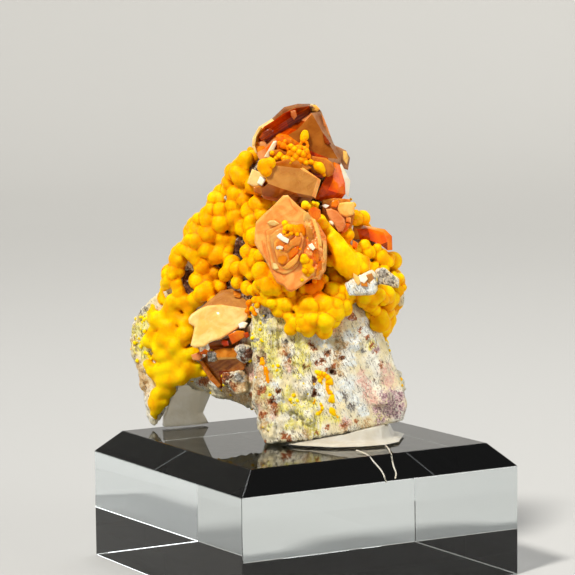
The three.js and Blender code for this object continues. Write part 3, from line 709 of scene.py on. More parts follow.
# Ledges that stand out from the rock: outline as u and v, then y and thickness in millimetres.
LEDGES = [
    ([(345, 283), (357, 281), (376, 279.5), (377, 290), (373, 294), (362, 293), (349, 295.5)], -10.4,
     8.5),
    ([(350, 278), (358, 274), (363, 276), (362, 283), (353, 284)], -9.6, 3),
    ([(363, 273), (372, 270), (376, 275), (375, 283), (366, 284)], -9.4, 3),
    ([(375, 270), (384, 268), (399, 279), (398, 287), (382, 286), (375, 279)], -3.2, 6),
    ([(400, 292), (404, 294), (404, 304), (400, 307), (396, 300)], -0.6, 4),
    # lumps of rock that stick to the crystals under the shelf
    ([(208, 353), (212, 351), (216, 354), (216, 360), (212, 363), (208, 360)], -4.6, 3),
    ([(237, 347), (243, 345), (250, 348), (251, 358), (245, 362), (238, 359)], -5.5, 4),
    ([(222, 373), (228, 371), (231, 376), (230, 383), (225, 384)], -3.6, 2.6),
    ([(230, 372), (241, 370), (247, 378), (246, 392), (236, 394), (229, 386)], -4.6, 4.6),
]
BEDDING_SLOPE = math.radians(22.7)  # the bedding leans this far from upright
RIB_SLOPE = math.radians(-4)
ROCK_GRAIN = 0.3  # millimetres between the rock mesh's points
ROCK_SWELL = 0.14  # the rock comes out by this, to close on what grows from it
FOOT_TOP = 23  # z up to which the foot's ribs and bedding show
FOOT_LEFT = -8  # x from which they show
BEDS_FROM = 1.5  # x from which the foot is smooth and bedded, over the next BEDS_BLEND millimetres
BEDS_BLEND = 3
CALM_PART = (342, 262, 310)  # the white ledge: past this u, and between these v, the rock is smoother
CALM_SHARE = 0.3
SEAT = (1.0, 0.1)  # below this z the rock comes out by this at most, to stay off the block
# the brown behind the crust is brown rock with painted shade, near black, in its pockets
POCKETS_FROM = 21  # z above which the rock behind the crust is brown
POCKET_EDGE = (342, 5.5)  # the brown part's right edge as u, and its rear as y
STAIN_SEED = 226  # keeps the holes' stains near the holes


def rock_relief(place):
    """How far the rock stands out from its plain form at a place, in millimetres."""
    x, y, z = place
    along = x * math.sin(BEDDING_SLOPE) - z * math.cos(BEDDING_SLOPE)
    across = x * math.cos(BEDDING_SLOPE) + z * math.sin(BEDDING_SLOPE)
    lumps = noise.fractal(place * 0.3, 1.0, 2.0, 4)
    grit = noise.fractal(place * 1.25 + Vector((7, 0, 3)), 0.75, 2.1, 5)
    ribs = noise.fractal(Vector((x * 1.1, y * 0.8, z * 0.16)), 0.9, 2.0, 3)
    beds = noise.fractal(Vector((across * 1.9, y * 0.9, along * 0.16)), 0.9, 2.0, 3)
    on_foot = 1.0 if z < FOOT_TOP and x > FOOT_LEFT else 0.0
    smooth_part = max(0.0, min(1.0, (x - BEDS_FROM) / BEDS_BLEND)) * on_foot
    rough_part = (1 - smooth_part) * on_foot
    body = 0.45 * lumps * (1 - 0.7 * smooth_part) + 0.27 * grit * (1 - 0.62 * smooth_part)
    return body + 0.5 * ribs * rough_part + 0.24 * beds * smooth_part


def ragged(u, v):
    """Picture places that are shifted about, so that what is measured from them gets a ragged outline."""
    noise.seed_set(STAIN_SEED)
    shifts = np.array([noise.noise_vector(Vector((a * 0.15, b * 0.15, 0))) for a, b in zip(u, v)])
    finer = np.array([noise.noise_vector(Vector((a * 0.5, b * 0.5, 5))) for a, b in zip(u, v)])
    return u + 3 * shifts[:, 0] + 2.2 * finer[:, 0], v + 4 * shifts[:, 1] + 2.8 * finer[:, 1]


def stain_attributes(mesh, places, facing):
    """Writes one attribute for each kind of stain, and one for the painted shade in the holes."""
    u, v = picture_places(places)
    ragged_u, ragged_v = ragged(u, v)
    amounts = {}
    for kind, spots in STAINS.items():
        amounts[kind] = np.zeros(len(u))
        for spot in spots:
            amounts[kind] = np.maximum(amounts[kind], round_spot(ragged_u, ragged_v, *spot))
        amounts[kind] *= facing
    # brown pockets behind the crust: brown rock with painted shade, stronger where the rock turns from the
    # camera
    right, rear = POCKET_EDGE
    high = np.clip((places[:, 2] - POCKETS_FROM) / 3, 0, 1) * (0.75 - 0.25 * facing)
    near = np.clip((rear - places[:, 1] + 0.3 * (ragged_v - v)) / 4, 0, 1)
    pockets = high * near * np.clip((right - ragged_u) / 6, 0, 1)
    amounts["brown"] = np.maximum(amounts["brown"], pockets)
    amounts["pit"] = np.zeros(len(u))
    for *spot, _ in HOLES:
        amounts["pit"] = np.maximum(amounts["pit"], round_spot(ragged_u, ragged_v, *spot) ** 1.4)
    amounts["pit"] *= facing
    for kind, amount in amounts.items():
        write_attribute(mesh, kind, amount)


def make_rock():
    copy = merged_copy("matrix_rock")
    bmesh.ops.transform(copy, matrix=TO_SPECIMEN, verts=copy.verts)
    for outline, y, thickness in LEDGES:
        corners = [copy.verts.new(seen_at(u, v, depth)) for depth in (y, y + thickness) for u, v in outline]
        bmesh.ops.convex_hull(copy, input=corners)
    bmesh.ops.transform(copy, matrix=SPECIMEN, verts=copy.verts)
    rock = piece_of(copy, "host_rock")
    modified(rock, "REMESH", mode="VOXEL", voxel_size=ROCK_GRAIN * MM)
    modified(rock, "SMOOTH", factor=0.5, iterations=3)
    mesh = rock.data
    places, facing = mesh_places(mesh), facing_camera(mesh)
    u, v = picture_places(places)
    rise = np.array([rock_relief(Vector(p)) for p in places]) + ROCK_SWELL
    for *spot, depth in HOLES:
        rise -= depth * round_spot(u, v, *spot) * facing
    left, top, bottom = CALM_PART
    rise[(u > left) & (v > top) & (v < bottom)] *= CALM_SHARE
    low = places[:, 2] < SEAT[0]
    rise[low] = np.minimum(rise[low], SEAT[1])
    place_mesh(mesh, places + facings_of(mesh.vertex_normals) * rise[:, None])
    stain_attributes(mesh, places, facing)
    mesh.shade_smooth()
    mount(covered(rock, "altered_rock"), "host_rock", "matrix_rock")


# ---------- mimetite ----------

# Balls that are told apart from the front: u, v, radius in picture points, and a 1 on the orange ones.
FRONT_BALLS = [
    (322, 219, 4), (325.5, 226, 5.5), (329.5, 233, 7), (333.5, 239, 8.5), (337.5, 245, 9.5),
    (341, 251, 10), (345, 257.5, 10.5), (348.5, 264, 10.5), (351.5, 270, 9), (350, 229, 3.6),
    (353.5, 223, 4, 1), (356.5, 218, 4), (356, 212, 3.6, 1), (354, 205, 3.2), (351, 199.5, 2.6),
    (364.4, 245, 6.5), (367.5, 252.5, 6), (365, 261, 5.5, 1), (380, 255, 5), (375, 265, 4.5),
    (390, 262.5, 5), (386, 258.8, 5), (377.5, 247.5, 5), (393.8, 272.5, 3), (400, 277.5, 5),
    (402.5, 287.5, 5), (392.5, 298.8, 8), (378.8, 295, 7.5), (387.5, 302.5, 9), (375, 310, 6),
    (381, 315, 7), (385, 325, 6), (385, 333.8, 5), (386, 342.5, 3.5), (362.5, 302, 6.5), (336, 280, 8),
    (341, 290, 5), (307, 303.6, 9), (325.7, 304, 9), (337, 304, 6), (311.4, 318.6, 8.5),
    (325.7, 321.4, 9), (302.9, 321.4, 6), (300, 328.6, 4.5), (331.4, 311.4, 6), (318, 285, 6.5, 1),
    (311, 289, 6, 1), (324, 279, 5.5), (320, 298.6, 7, 1), (340, 297, 6), (265.7, 294, 6),
    (241.9, 155.6, 4), (250, 150, 4), (245, 161, 8), (236, 172.5, 7), (240, 177.5, 9), (228.8, 190, 8),
    (235, 193.8, 9), (238.8, 205, 8), (215, 198.8, 7), (222.5, 200, 8), (210, 210, 7), (220, 210, 8),
    (200, 220, 7), (207.5, 220, 8), (195, 227.5, 7), (202.5, 232.5, 7), (190, 240, 7), (186, 250, 7),
    (178.8, 260, 6), (173.8, 270, 6), (172.5, 275, 5), (176, 283.8, 7), (178.8, 291, 7), (220, 237.5, 7),
    (226, 239, 5.5), (220, 247.5, 8), (228.8, 249, 5.8), (217.5, 257.5, 7), (211, 260, 6),
    (228.8, 270, 7.5), (240, 275, 5), (200, 252.5, 6), (195, 260, 6), (200, 270, 6), (197.5, 280, 7),
    (207.5, 277.5, 7), (215, 272.5, 6.5), (207.5, 287.5, 8), (252, 262.5, 5), (237.5, 215, 8),
    (251, 220, 7), (238.8, 231, 4.6), (251, 275, 6), (262.5, 275, 5), (252.5, 290, 6), (261, 205, 5),
    (230, 220, 8), (161, 292.5, 3), (163.8, 300, 7), (172.5, 301, 8), (153.8, 305, 5), (163, 298, 7),
    (172, 303, 8), (183, 301, 9), (196.7, 299, 9), (207.8, 292, 8), (221, 283, 8), (166.7, 314, 8),
    (177.8, 317.8, 8), (183, 323, 6), (164.4, 325.5, 8), (174.4, 332, 8), (185.5, 332, 6), (161, 339, 7),
    (174.4, 343, 8), (183, 341, 7), (305, 203, 4), (309, 206, 3.4), (304, 207, 3), (317, 204, 3),
    (313, 202, 2.4), (249, 303, 4, 1), (255, 300, 4.5), (252, 309, 3.6), (247, 311, 3.4, 1),
    (257, 306, 3.6), (250, 316, 3.2), (255, 314, 3.2, 1), (248, 321, 2.6), (253, 322, 2.4), (260, 300, 4),
    (156.7, 350, 6), (172, 354, 7), (181, 359, 8), (177.8, 370, 9), (188.9, 370, 8), (194, 365.5, 6),
    (199, 365.5, 4), (166.7, 367.8, 7), (161, 381, 7), (170, 381, 8), (181, 379, 8), (192, 379, 5),
    (163, 390, 6), (160, 392, 7), (168, 392, 6), (158, 402, 6), (165, 402, 6), (158, 411, 5),
    (156, 418, 3.4), (153.5, 407, 5), (153, 414, 4.4), (153, 420, 3),
]
# Gaps in the crust that show the rock behind: u, v and radius in picture points.
CRUST_GAPS = [
    (188, 270, 9), (190, 281, 9), (187, 290, 5), (202, 210, 7.5), (250, 204, 7), (204, 247, 6.5),
    (225, 260, 8), (213, 237, 4.5), (239, 230, 4.5), (241, 247, 9), (240, 260, 10), (225, 282, 5),
    (244, 236, 6), (331, 248, 5), (331, 258, 6), (330, 268, 5), (380, 275, 6), (387, 279, 7),
    (394, 281, 5), (352, 286, 6), (361, 285, 7), (370, 284, 6), (354, 292, 5), (366, 290, 6),
    (372, 288, 4), (402, 300, 3.5), (213, 231, 2.5), (222, 228, 2.5), (232, 234, 2.5), (247, 262, 4),
    (234, 268, 3), (298, 339, 6), (307, 340, 6), (316, 341, 7), (327, 340, 6), (336, 333, 5),
    (343, 325, 4),
]
# Balls that stand clear in front: u, v, radius in picture points, y and warmth.
NEAR_BALLS = [
    (305, 204, 4.2, -7.9, 0.05), (308.5, 206.5, 3.4, -7.9, 0.1), (303.5, 207, 3.2, -8, 0.1),
    (305, 205, 3.8, -6.2, 0.2), (306, 206, 3.8, -4.6, 0.3), (317, 204, 3.2, -7, 0.1),
    (313, 203, 2.6, -7.4, 0.15), (316, 205, 3.2, -5.4, 0.3),
]
GAP_DEPTH = 9  # millimetres that a gap goes in
GAP_CLEAR = 0.8  # share of its radius by which a ball stays out of a gap
SUNK = 0.58  # share of a ball's radius by which its middle lies under the surface it grew on
CRUST_CELL = 0.26  # millimetres between the points of the crust's skin
CORE_STEP = 0.95  # millimetres between the balls that fill the crust's body
CORE_COVER = 0.45  # millimetres of crust outside the middle of any of them
CORE_BALL = 1.5  # the largest of them, as a radius
CORE_TONE = 0.45
ORANGE = 0.45  # how much warmer the orange balls are
# where two balls meet, their crease gets painted shade
CREASE_WIDTH = 0.7  # millimetres over which two balls' tones meet
CREASE_TURN = 1.3  # how soon a crease shows as two balls' sides turn from each other
NEIGHBOURS = 14  # balls that are looked at round a point of the skin
SKIN_START = 0.12  # millimetres off the skin from which a recess is felt
RECESS_REACH = 2.6  # millimetres over which neighbours shade a recess
WAYS_OUT = [
    (1, 0.2, 0.3), (-0.4, 1, 0.2), (0.2, -0.3, 1), (0.8, 0.9, -0.2), (-0.7, 0.5, 0.8), (0.6, -0.8, 0.5),
]
DEPTHS = (-14, 18, 0.5)  # y from, to and between which a ball beside the body is tried
MIDDLE_TONE = 0.42  # warmth of the crust where nothing changes it
CRYSTAL_SET = 1.2  # millimetres that a crystal may lie behind the body and still show
SEEN_SHARE = 0.8  # the scattered balls that show in front are smaller by this
LEAST_Z = 1.5  # no ball is scattered lower than this


@built_once
def ball_skin(name):
    """Node group that grows the balls at a mesh's points together in one closed skin."""
    cell = CRUST_CELL * MM
    sockets = [("Balls", "Geometry", None), ("Cell", "Float", cell), ("Finish", "Material", None)]
    n, given, results = new_tree(name, "GeometryNodeTree", sockets, {"Skin": "Geometry"})
    radius = n.named("radius")
    points = n.add("GeometryNodeMeshToPoints", {"Mesh": given["Balls"], "Radius": radius}).outputs[0]
    inputs = {"Points": points, "Voxel Size": given["Cell"], "Radius": radius}
    cloud = n.add("GeometryNodePointsToVolume", inputs, resolution_mode="VOXEL_SIZE").outputs[0]
    skin = n.add("GeometryNodeVolumeToMesh", {"Volume": cloud, "Threshold": 0.1}).outputs[0]
    n.feed(results, {"Skin": n.completed(skin, given["Finish"])})
    return n.tree


def drawn_together(mesh, share, times):
    """Draws each point towards its neighbours by its share, so that balls flow into each other."""
    ends = values_of(mesh.edges, "vertices", 2, np.int32)
    first, second = ends.T
    places = mesh_places(mesh)
    count = np.bincount(ends.ravel(), minlength=len(places))
    for _ in range(times):
        sums = []
        for along in places.T:
            forth = np.bincount(first, along[second], len(places))
            sums.append(forth + np.bincount(second, along[first], len(places)))
        places = places + share[:, None] * (np.array(sums).T / count[:, None] - places)
    place_mesh(mesh, places)


def recesses(mesh):
    """Share of the ways out from each point that the mesh itself closes near by; it sets the painted shade
    in the crust's recesses.
    """
    corners = [vert.co.copy() for vert in mesh.vertices]
    tree = BVHTree.FromPolygons(corners, [tuple(p.vertices) for p in mesh.polygons])
    ways = [Vector(way).normalized() for way in WAYS_OUT]
    closed = np.zeros(len(corners))
    for i, (corner, normal) in enumerate(zip(corners, mesh.vertex_normals)):
        outward = normal.vector
        start = corner + outward * (SKIN_START * MM)
        for way in ways:
            way = way if way.dot(outward) > 0 else -way
            if tree.ray_cast(start, way, RECESS_REACH * MM)[0] is not None:
                closed[i] += 1 / len(ways)
    return closed


def flow(places):
    """Share by which the crust's balls have run together: most low on the left and on the long lobe."""
    u, v = picture_places(places)
    leg = np.clip((300 - u * 0.25 + v - 545) / 25, 0, 1) * np.clip((232 - u) / 12, 0, 1)
    lobe = np.exp(-(((u - 343) / 15) ** 4) - ((v - 248) / 26) ** 4)
    return np.clip(leg + lobe, 0, 1)


def ball_tones(balls, places, cell):
    """The painted crease shade and the warmth at places on a skin round balls, and the places drawn onto
    the balls.
    """
    middles = points_tree(balls[:, :3])
    crease, warmth = np.ones(len(places)), np.zeros(len(places))
    for i, place in enumerate(places):
        near = middles.find_n(Vector(place), NEIGHBOURS)
        gaps = sorted((distance - balls[k, 3], k) for _, k, distance in near)
        gap, k = gaps[0]
        middle = balls[k, :3]
        outward = (place - middle) / np.linalg.norm(place - middle)
        warmth[i] = balls[k, 4]
        if len(gaps) > 1:
            # balls that share most of their bulk get no painted crease shade between them
            next_gap, other = gaps[1]
            next_outward = (place - balls[other, :3]) / np.linalg.norm(place - balls[other, :3])
            meeting = 1 - min(1.0, (next_gap - gap) / CREASE_WIDTH)
            crease[i] = 1 - meeting * min(1.0, (1 - outward @ next_outward) * CREASE_TURN)
            warmth[i] += (balls[other, 4] - warmth[i]) * meeting * 0.5
        if abs(gap) < 3 * cell:
            places[i] = middle + outward * balls[k, 3]
    return crease, warmth, places


def grown_together(name, balls, cell, soften, flowing=0):
    """One piece whose skin goes round balls given as rows of place, radius and warmth, in millimetres."""
    balls = np.asarray(balls, dtype=float)
    mesh = bpy.data.meshes.new(name)
    mesh.from_pydata([SPECIMEN @ Vector(ball[:3]) for ball in balls], [], [])
    write_attribute(mesh, "radius", balls[:, 3] * MM)
    piece = new_piece(name, mesh)
    run_tree(piece, ball_skin(), {"Cell": cell * MM, "Finish": finish_of("waxy_mimetite")})
    mesh = piece.data
    crease, warmth, places = ball_tones(balls, mesh_places(mesh), cell)
    place_mesh(mesh, places)
    drawn_together(mesh, np.full(len(places), 0.5), soften)
    if flowing:
        share = flow(places)
        drawn_together(mesh, 0.5 * share, flowing)
        crease = crease + (1 - crease) * 0.8 * share
    for attribute, values in {"crease": crease, "warmth": warmth, "recess": recesses(mesh)}.items():
        write_attribute(mesh, attribute, values)
    mesh.shade_smooth()
    return covered(piece, "waxy_mimetite")


def on_body(u, v, radius, tree=BODY_TREE):
    """Middle of a ball that is seen at u, v and has grown on what the camera sees there."""
    ray = sight(u, v)
    hit = tree.ray_cast(EYE, ray)[0]
    if hit:
        return hit + ray * (SUNK * radius)
    along = [seen_at(u, v, y) for y in np.arange(*DEPTHS)]
    return min(along, key=lambda place: tree.find_nearest(place)[3])


def ball_tone(place, rng):
    """How warm a ball's yellow is: greener low on the left, more orange beside the crystals."""
    u, v = (float(a) for a in picture_places([place]))
    tone = MIDDLE_TONE + rng.uniform(-0.1, 0.1)
    if u < 235 and v > 340:
        tone -= 0.22
    elif u < 235 and v > 305:
        tone += 0.08
    elif u < 270 and v < 275:
        tone += 0.1
    elif u > 325:
        tone -= 0.14
    tone += 0.3 * math.exp(-CRYSTAL_TREE.find_nearest(place)[3] / 1.6)
    return min(1.0, max(0.0, tone))


def covers_crystal(middle, radius):
    """Whether the camera would see the ball in front of a crystal."""
    for turn in range(9):
        angle, reach = turn * math.tau / 8, radius if turn < 8 else 0
        offset = RIGHTWARDS * math.cos(angle) + UPWARDS * math.sin(angle)
        edge = middle + (TO_SPECIMEN.to_3x3() @ offset).normalized() * reach
        ray = (edge - EYE).normalized()
        ahead = (edge - EYE).length
        crystal, depth = CRYSTAL_TREE.ray_cast(EYE, ray)[::3]
        body, body_depth = BODY_TREE.ray_cast(EYE, ray)[::3]
        if crystal and depth > ahead - radius and (not body or depth < body_depth + CRYSTAL_SET):
            return True
    return False


@built_once
def spread_points(name):
    """Node group that spreads points over a surface, no two nearer than a spacing."""
    sockets = [("Surface", "Geometry", None), ("Spacing", "Float", 1.5 * MM), ("Seed", "Int", 3)]
    n, given, results = new_tree(name, "GeometryNodeTree", sockets, {"Points": "Geometry"})
    spread = n.scattered(given, 4.0 / MM**2, {}).outputs
    stored = {"Geometry": spread["Points"], "Name": "facing", "Value": spread["Normal"]}
    kind = {"data_type": "FLOAT_VECTOR", "domain": "POINT"}
    kept = n.add("GeometryNodeStoreNamedAttribute", stored, **kind).outputs[0]
    points = n.add("GeometryNodePointsToVertices", {"Points": kept}).outputs[0]
    n.feed(results, {"Points": n.completed(points)})
    return n.tree


def spread_over(node, spacing, seed):
    """Places and facings of points spread over a CAD node, in the specimen's frame."""
    copy = new_piece("spread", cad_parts[node].data.copy())
    run_tree(copy, spread_points(), {"Spacing": spacing, "Seed": seed})
    spent = copy.data
    places, facings = mesh_places(spent), facings_of(spent.attributes["facing"].data)
    bpy.data.objects.remove(copy)
    bpy.data.meshes.remove(spent)
    return places, facings


def inside(place, tree):
    """Whether a place is inside a closed form, by how often a ray from it goes through the form."""
    votes = 0
    for ray in (Vector((0.31, 0.17, 0.93)), Vector((-0.83, 0.41, 0.37)), Vector((0.22, -0.91, -0.35))):
        start, crossed = place, 0
        while crossed < 20:
            hit = tree.ray_cast(start, ray.normalized())[0]
            if hit is None:
                break
            start, crossed = hit + ray * 0.001, crossed + 1
        votes += crossed % 2
    return votes >= 2


def in_gap(place, radius):
    """Whether a ball would show in one of the crust's gaps."""
    u, v = (float(a) for a in picture_places([place]))
    reach = radius * POINTS_PER_MM * GAP_CLEAR
    if not any(math.hypot(u - gap_u, v - gap_v) < gap + reach for gap_u, gap_v, gap in CRUST_GAPS):
        return False
    away = place - EYE
    front = BODY_TREE.ray_cast(EYE, away.normalized())
    return not front[0] or away.length - front[3] < GAP_DEPTH


def crust_core():
    """Balls that fill the crust's body just under its surface."""
    corners = np.array([TO_SPECIMEN @ v.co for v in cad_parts["mimetite_crust"].data.vertices])
    low, high = corners.min(axis=0), corners.max(axis=0)
    balls = []
    for corner in product(*(np.arange(low[i], high[i], CORE_STEP) for i in range(3))):
        place = Vector(corner)
        distance = CRUST_TREE.find_nearest(place)[3]
        if distance > CORE_COVER and inside(place, CRUST_TREE) and not in_gap(place, 0.4):
            balls.append((*corner, min(distance - 0.1, CORE_BALL), CORE_TONE))
    return balls


def scattered_ball(place, facing, spot, radius, discs):
    """Middle and radius of a ball that grows at a place of the crust, or nothing where none may be."""
    away = place - EYE
    ray = away.normalized()
    seen = facing.dot(ray) < -0.1 and BODY_TREE.ray_cast(EYE, ray)[3] > away.length - 0.5
    if seen:
        radius *= SEEN_SHARE
        if np.any(np.hypot(*(discs[:, :2] - spot).T) < discs[:, 2] * 0.95):
            return None
    middle = place - facing * (radius * (0.75 if seen else 0.5))
    if CRYSTAL_TREE.find_nearest(middle)[3] < radius * 0.7 or covers_crystal(middle, radius):
        return None
    if seen and in_gap(middle, radius):
        return None
    return middle, radius


def make_crust(sizes):
    rng = random.Random(11)
    balls = []
    for u, v, points, *orange in FRONT_BALLS:
        radius = points / POINTS_PER_MM
        middle = on_body(u, v, radius)
        balls.append((*middle, radius, ball_tone(middle, rng) + ORANGE * len(orange)))
    for u, v, points, y, tone in NEAR_BALLS:
        balls.append((*seen_at(u, v, y), points / POINTS_PER_MM, tone))
    discs = np.array([row[:3] for row in FRONT_BALLS])
    places, facings = spread_over("mimetite_crust", sizes.ball_spacing, 5)
    for place, facing, *spot in zip(places, facings, *picture_places(places)):
        if place[2] < LEAST_Z:
            continue
        radius = rng.uniform(sizes.ball_low, sizes.ball_high) / MM
        ball = scattered_ball(Vector(place), Vector(facing), spot, radius, discs)
        if ball:
            balls.append((*ball[0], ball[1], ball_tone(ball[0], rng)))
    balls += crust_core()
    crust = grown_together("mimetite_balls", balls, CRUST_CELL, soften=6, flowing=13)
    mount(crust, "mimetite", "mimetite_crust")


# Small balls stand clear of each other, so their skins are finer than the crust's and smoothed more.
BEAD_CELL = 0.11  # millimetres between the points of such a skin
CURL_CELL = 0.12
CURL_SWELL = 1.22  # the crown's balls are this much larger than their rows say, as smoothing shrinks them
ROSE_SWELL = 1.2
BEAD_SWELL = 1.3
# The curl of small balls on the crown, with the green-yellow ball above it and the one to its right, and
# the ball on the crown's left: u, v, radius in picture points, y and warmth.
CURL_BALLS = [
    (291, 146, 2.6, -3.9, 0.6), (294, 149, 2.8, -4.1, 0.5), (292, 153, 2.6, -4, 0.7),
    (296, 156, 2.8, -4.2, 0.6), (299, 152, 2.6, -4.3, 0.5), (303, 154, 2.9, -4.3, 0.6),
    (307, 151, 2.6, -4.1, 0.75), (304, 148, 2.2, -3.9, 0.6), (301, 160, 2.6, -4.3, 0.75),
    (297, 161, 2.2, -4, 0.8), (305, 159, 2.2, -4, 0.7), (308, 146, 1.8, -3.8, 0.85),
    (307, 142.5, 1.8, -3.7, 0.85), (304, 141, 1.7, -3.6, 0.8), (301, 143, 1.7, -3.6, 0.8),
    (300, 146, 1.8, -3.7, 0.7), (297, 146, 1.6, -3.8, 0.5), (288, 148, 2.4, -3.6, 0.8),
    (284, 158, 2.8, -3.8, 0.5), (288, 158, 2.8, -3.9, 0.55), (283, 146, 3, -3.5, 0.9),
    (279, 143, 2.4, -3.4, 0.8), (285, 141, 2.2, -3.3, 0.7), (280, 154, 2.6, -3.6, 0.6),
    (276, 158, 2.4, -3.6, 0.45), (293, 160, 2.8, -4.2, 0.6), (289, 153, 2.4, -3.9, 0.8),
    (300, 148, 2.2, -3.9, 0.8), (272, 153, 2.6, -3.5, 0.55), (270, 159, 2.4, -3.8, 0.5),
    (306, 163, 2.6, -4.4, 0.6), (311, 162, 2.6, -4.2, 0.5), (309, 156, 2.4, -4, 0.9),
    (300, 164, 2.2, -4.2, 0.9), (290, 163, 2.2, -4.3, 0.5), (284, 162, 2.4, -4.2, 0.45),
    (279, 156, 2.2, -3.7, 0.5), (304.5, 136.5, 4, -3, 0.2), (305, 133, 3.2, -2.8, 0.2),
    (303, 139, 3, -3.1, 0.3), (319, 167, 4.6, -4.2, 0.5), (322, 170, 3.4, -4.2, 0.55),
    (315, 164, 2.6, -3.9, 0.5), (324, 175, 2.2, -4.1, 0.6),
]
CROWN_BALLS = [
    (264, 165, 5.6, -6.3, 0.5), (270, 163, 5, -6.2, 0.45), (266, 171, 5.2, -6.4, 0.5),
    (261, 168, 3.6, -6.1, 0.5),
]


def make_crown_balls():
    for name, node, places in (
        ("crown_curl", "mimetite_crown_curl", CURL_BALLS),
        ("crown_ball", "mimetite_crown_ball", CROWN_BALLS),
    ):
        swell = CURL_SWELL / POINTS_PER_MM
        rows = [(*seen_at(u, v, y), swell * radius, tone + 0.05) for u, v, radius, y, tone in places]
        mount(grown_together(name, rows, CURL_CELL, soften=26), "mimetite", node)


# Mimetite that has grown over the rose: u, v, radius in picture points and warmth.
ROSE_BALLS = [
    (285, 223.5, 3.2, 0.45), (286.5, 228, 3.2, 0.5), (284.5, 232, 2.4, 0.6), (290, 228, 2.8, 0.65),
    (294, 230, 3.2, 0.75), (298.5, 230.5, 3.4, 0.85), (303, 233.5, 2.8, 0.85), (297, 234.5, 2.2, 0.6),
    (291, 233.5, 2.2, 0.5), (287, 235.5, 1.8, 0.8), (304, 257, 3.2, 0.2), (302.5, 260.5, 2.6, 0.2),
    (306, 260, 3, 0.3), (308, 266, 3.6, 0.4), (305, 270.5, 3, 0.45), (310, 262, 3, 0.5),
    (311, 270, 3.4, 0.5), (305.5, 265, 3.2, 0.35), (308, 274, 2.8, 0.55), (318, 256, 2, 0.9),
    (318, 249, 2, 0.7), (321, 262, 2, 0.9), (289, 227, 2.6, 0.5), (292.5, 227, 2.8, 0.5),
    (296, 228, 2.8, 0.6), (300, 227, 3, 0.95), (303, 230, 2.8, 0.95), (302, 226, 2.4, 0.9),
    (316, 234, 2.2, 0.7), (310, 231, 2.2, 0.6), (320.5, 240, 1.8, 0.7), (302, 280, 2.2, 0.6),
    (300, 249, 1.8, 0.8), (314.5, 281, 2.6, 0.9), (320, 270, 2.2, 0.9), (308, 238, 1.8, 0.6),
    (323, 252, 1.8, 0.8), (280, 250, 1.4, 0.5),
]


def make_rose_balls():
    rose = tree_of(["wulfenite_rose"])
    rows = []
    for u, v, points, tone in ROSE_BALLS:
        radius = ROSE_SWELL * points / POINTS_PER_MM
        rows.append((*on_body(u, v, radius * 0.6, rose), radius, tone))
    mount(grown_together("rose_balls", rows, BEAD_CELL, soften=22), "mimetite")


# Patches of small grains on the rock's foot: u, v, radius in picture points, share of cover and warmth.
GRAIN_PATCHES = [
    (259, 333, 6, 0.5, 0.15), (264, 341, 4, 0.3, 0.15), (293, 400, 4, 0.3, 0.15),
    (303, 327, 3.6, 0.6, 0.3), (304.5, 355, 3, 0.3, 0.15), (297, 404, 3, 0.4, 0.15),
    (287, 322, 5, 0.3, 0.15), (270, 330, 5, 0.3, 0.15), (276, 368, 4, 0.3, 0.2), (270, 392, 3, 0.3, 0.2),
    (262, 430, 4, 0.2, 0.2), (379, 416, 3, 0.4, 0.2), (145, 320, 6, 0.7, 0.1), (150, 332, 7, 0.8, 0.1),
    (143, 342, 7, 0.6, 0.1), (154, 345, 6, 0.8, 0.1), (148, 356, 5, 0.5, 0.1), (140, 360, 4, 0.3, 0.15),
]
# Beads told apart on the rock's foot: u, v, radius in picture points and warmth.
FOOT_BEADS = [
    (262.5, 360, 2.6, 0.9), (264, 363, 2.8, 0.95), (261.5, 364, 2, 0.8), (266, 368.5, 2.4, 0.9),
    (266.5, 372, 2.8, 1), (267, 376, 2.8, 1), (267.5, 379.5, 2.4, 1), (267.5, 382.5, 1.8, 1),
    (317, 372, 2.4, 0.1), (320.5, 373, 2.8, 0.1), (324.5, 373.5, 2.2, 0.25), (322.5, 377.5, 2, 0.2),
    (319.5, 380.5, 2.2, 0.15), (317.5, 377, 1.8, 0.1), (321.5, 383.5, 1.7, 0.15), (327.5, 377, 2.4, 0.2),
    (330, 380.5, 2.8, 0.3), (327.5, 382, 2.2, 0.35), (331.5, 383.5, 2.2, 0.4), (327.5, 386, 2.2, 0.8),
    (327.5, 389.5, 2.4, 0.95), (328.5, 393, 2.2, 0.95), (331.5, 392, 1.8, 0.3), (333, 395.5, 2.4, 0.25),
    (331.5, 398.5, 2.8, 0.3), (329.5, 401, 2, 0.15), (333, 401.5, 2.2, 0.2), (332, 411, 3.2, 0.3),
    (333.5, 414, 2.4, 0.25), (330.5, 408.5, 2, 0.2), (338, 417, 1.9, 0.35), (321, 404, 2, 0.2),
    (322.5, 408, 2.3, 0.3), (320.5, 411.5, 2, 0.3), (317.5, 413.5, 2.3, 0.2), (315, 400, 1.7, 0.6),
    (313.5, 403.5, 1.7, 0.3), (314.5, 384.5, 1.8, 0.55), (297, 401, 2.2, 0.1), (295, 405, 1.7, 0.1),
    (303, 361, 1.8, 0.05), (303, 384, 1.6, 0.05), (308, 394, 1.7, 0.05), (273, 366, 2.2, 0.15),
    (276.5, 370, 2, 0.2), (270, 395, 1.9, 0.3), (272, 388, 1.6, 0.2),
]
BACK_COVER = 0.06  # share of grains on the rock's other sides
BACK_HEIGHTS = (4, 24)  # z between which they are
BACK_TONE = 0.2


def make_foot_beads():
    rock = bpy.data.objects["host_rock"].data
    corners = [Vector(place) for place in mesh_places(rock)]
    surface = BVHTree.FromPolygons(corners, [tuple(p.vertices) for p in rock.polygons])
    rows = []
    for u, v, points, tone in FOOT_BEADS:
        radius = BEAD_SWELL * points / POINTS_PER_MM
        rows.append((*on_body(u, v, radius, surface), radius, tone * 0.8))
    mount(grown_together("foot_beads", rows, BEAD_CELL, soften=14), "mimetite")


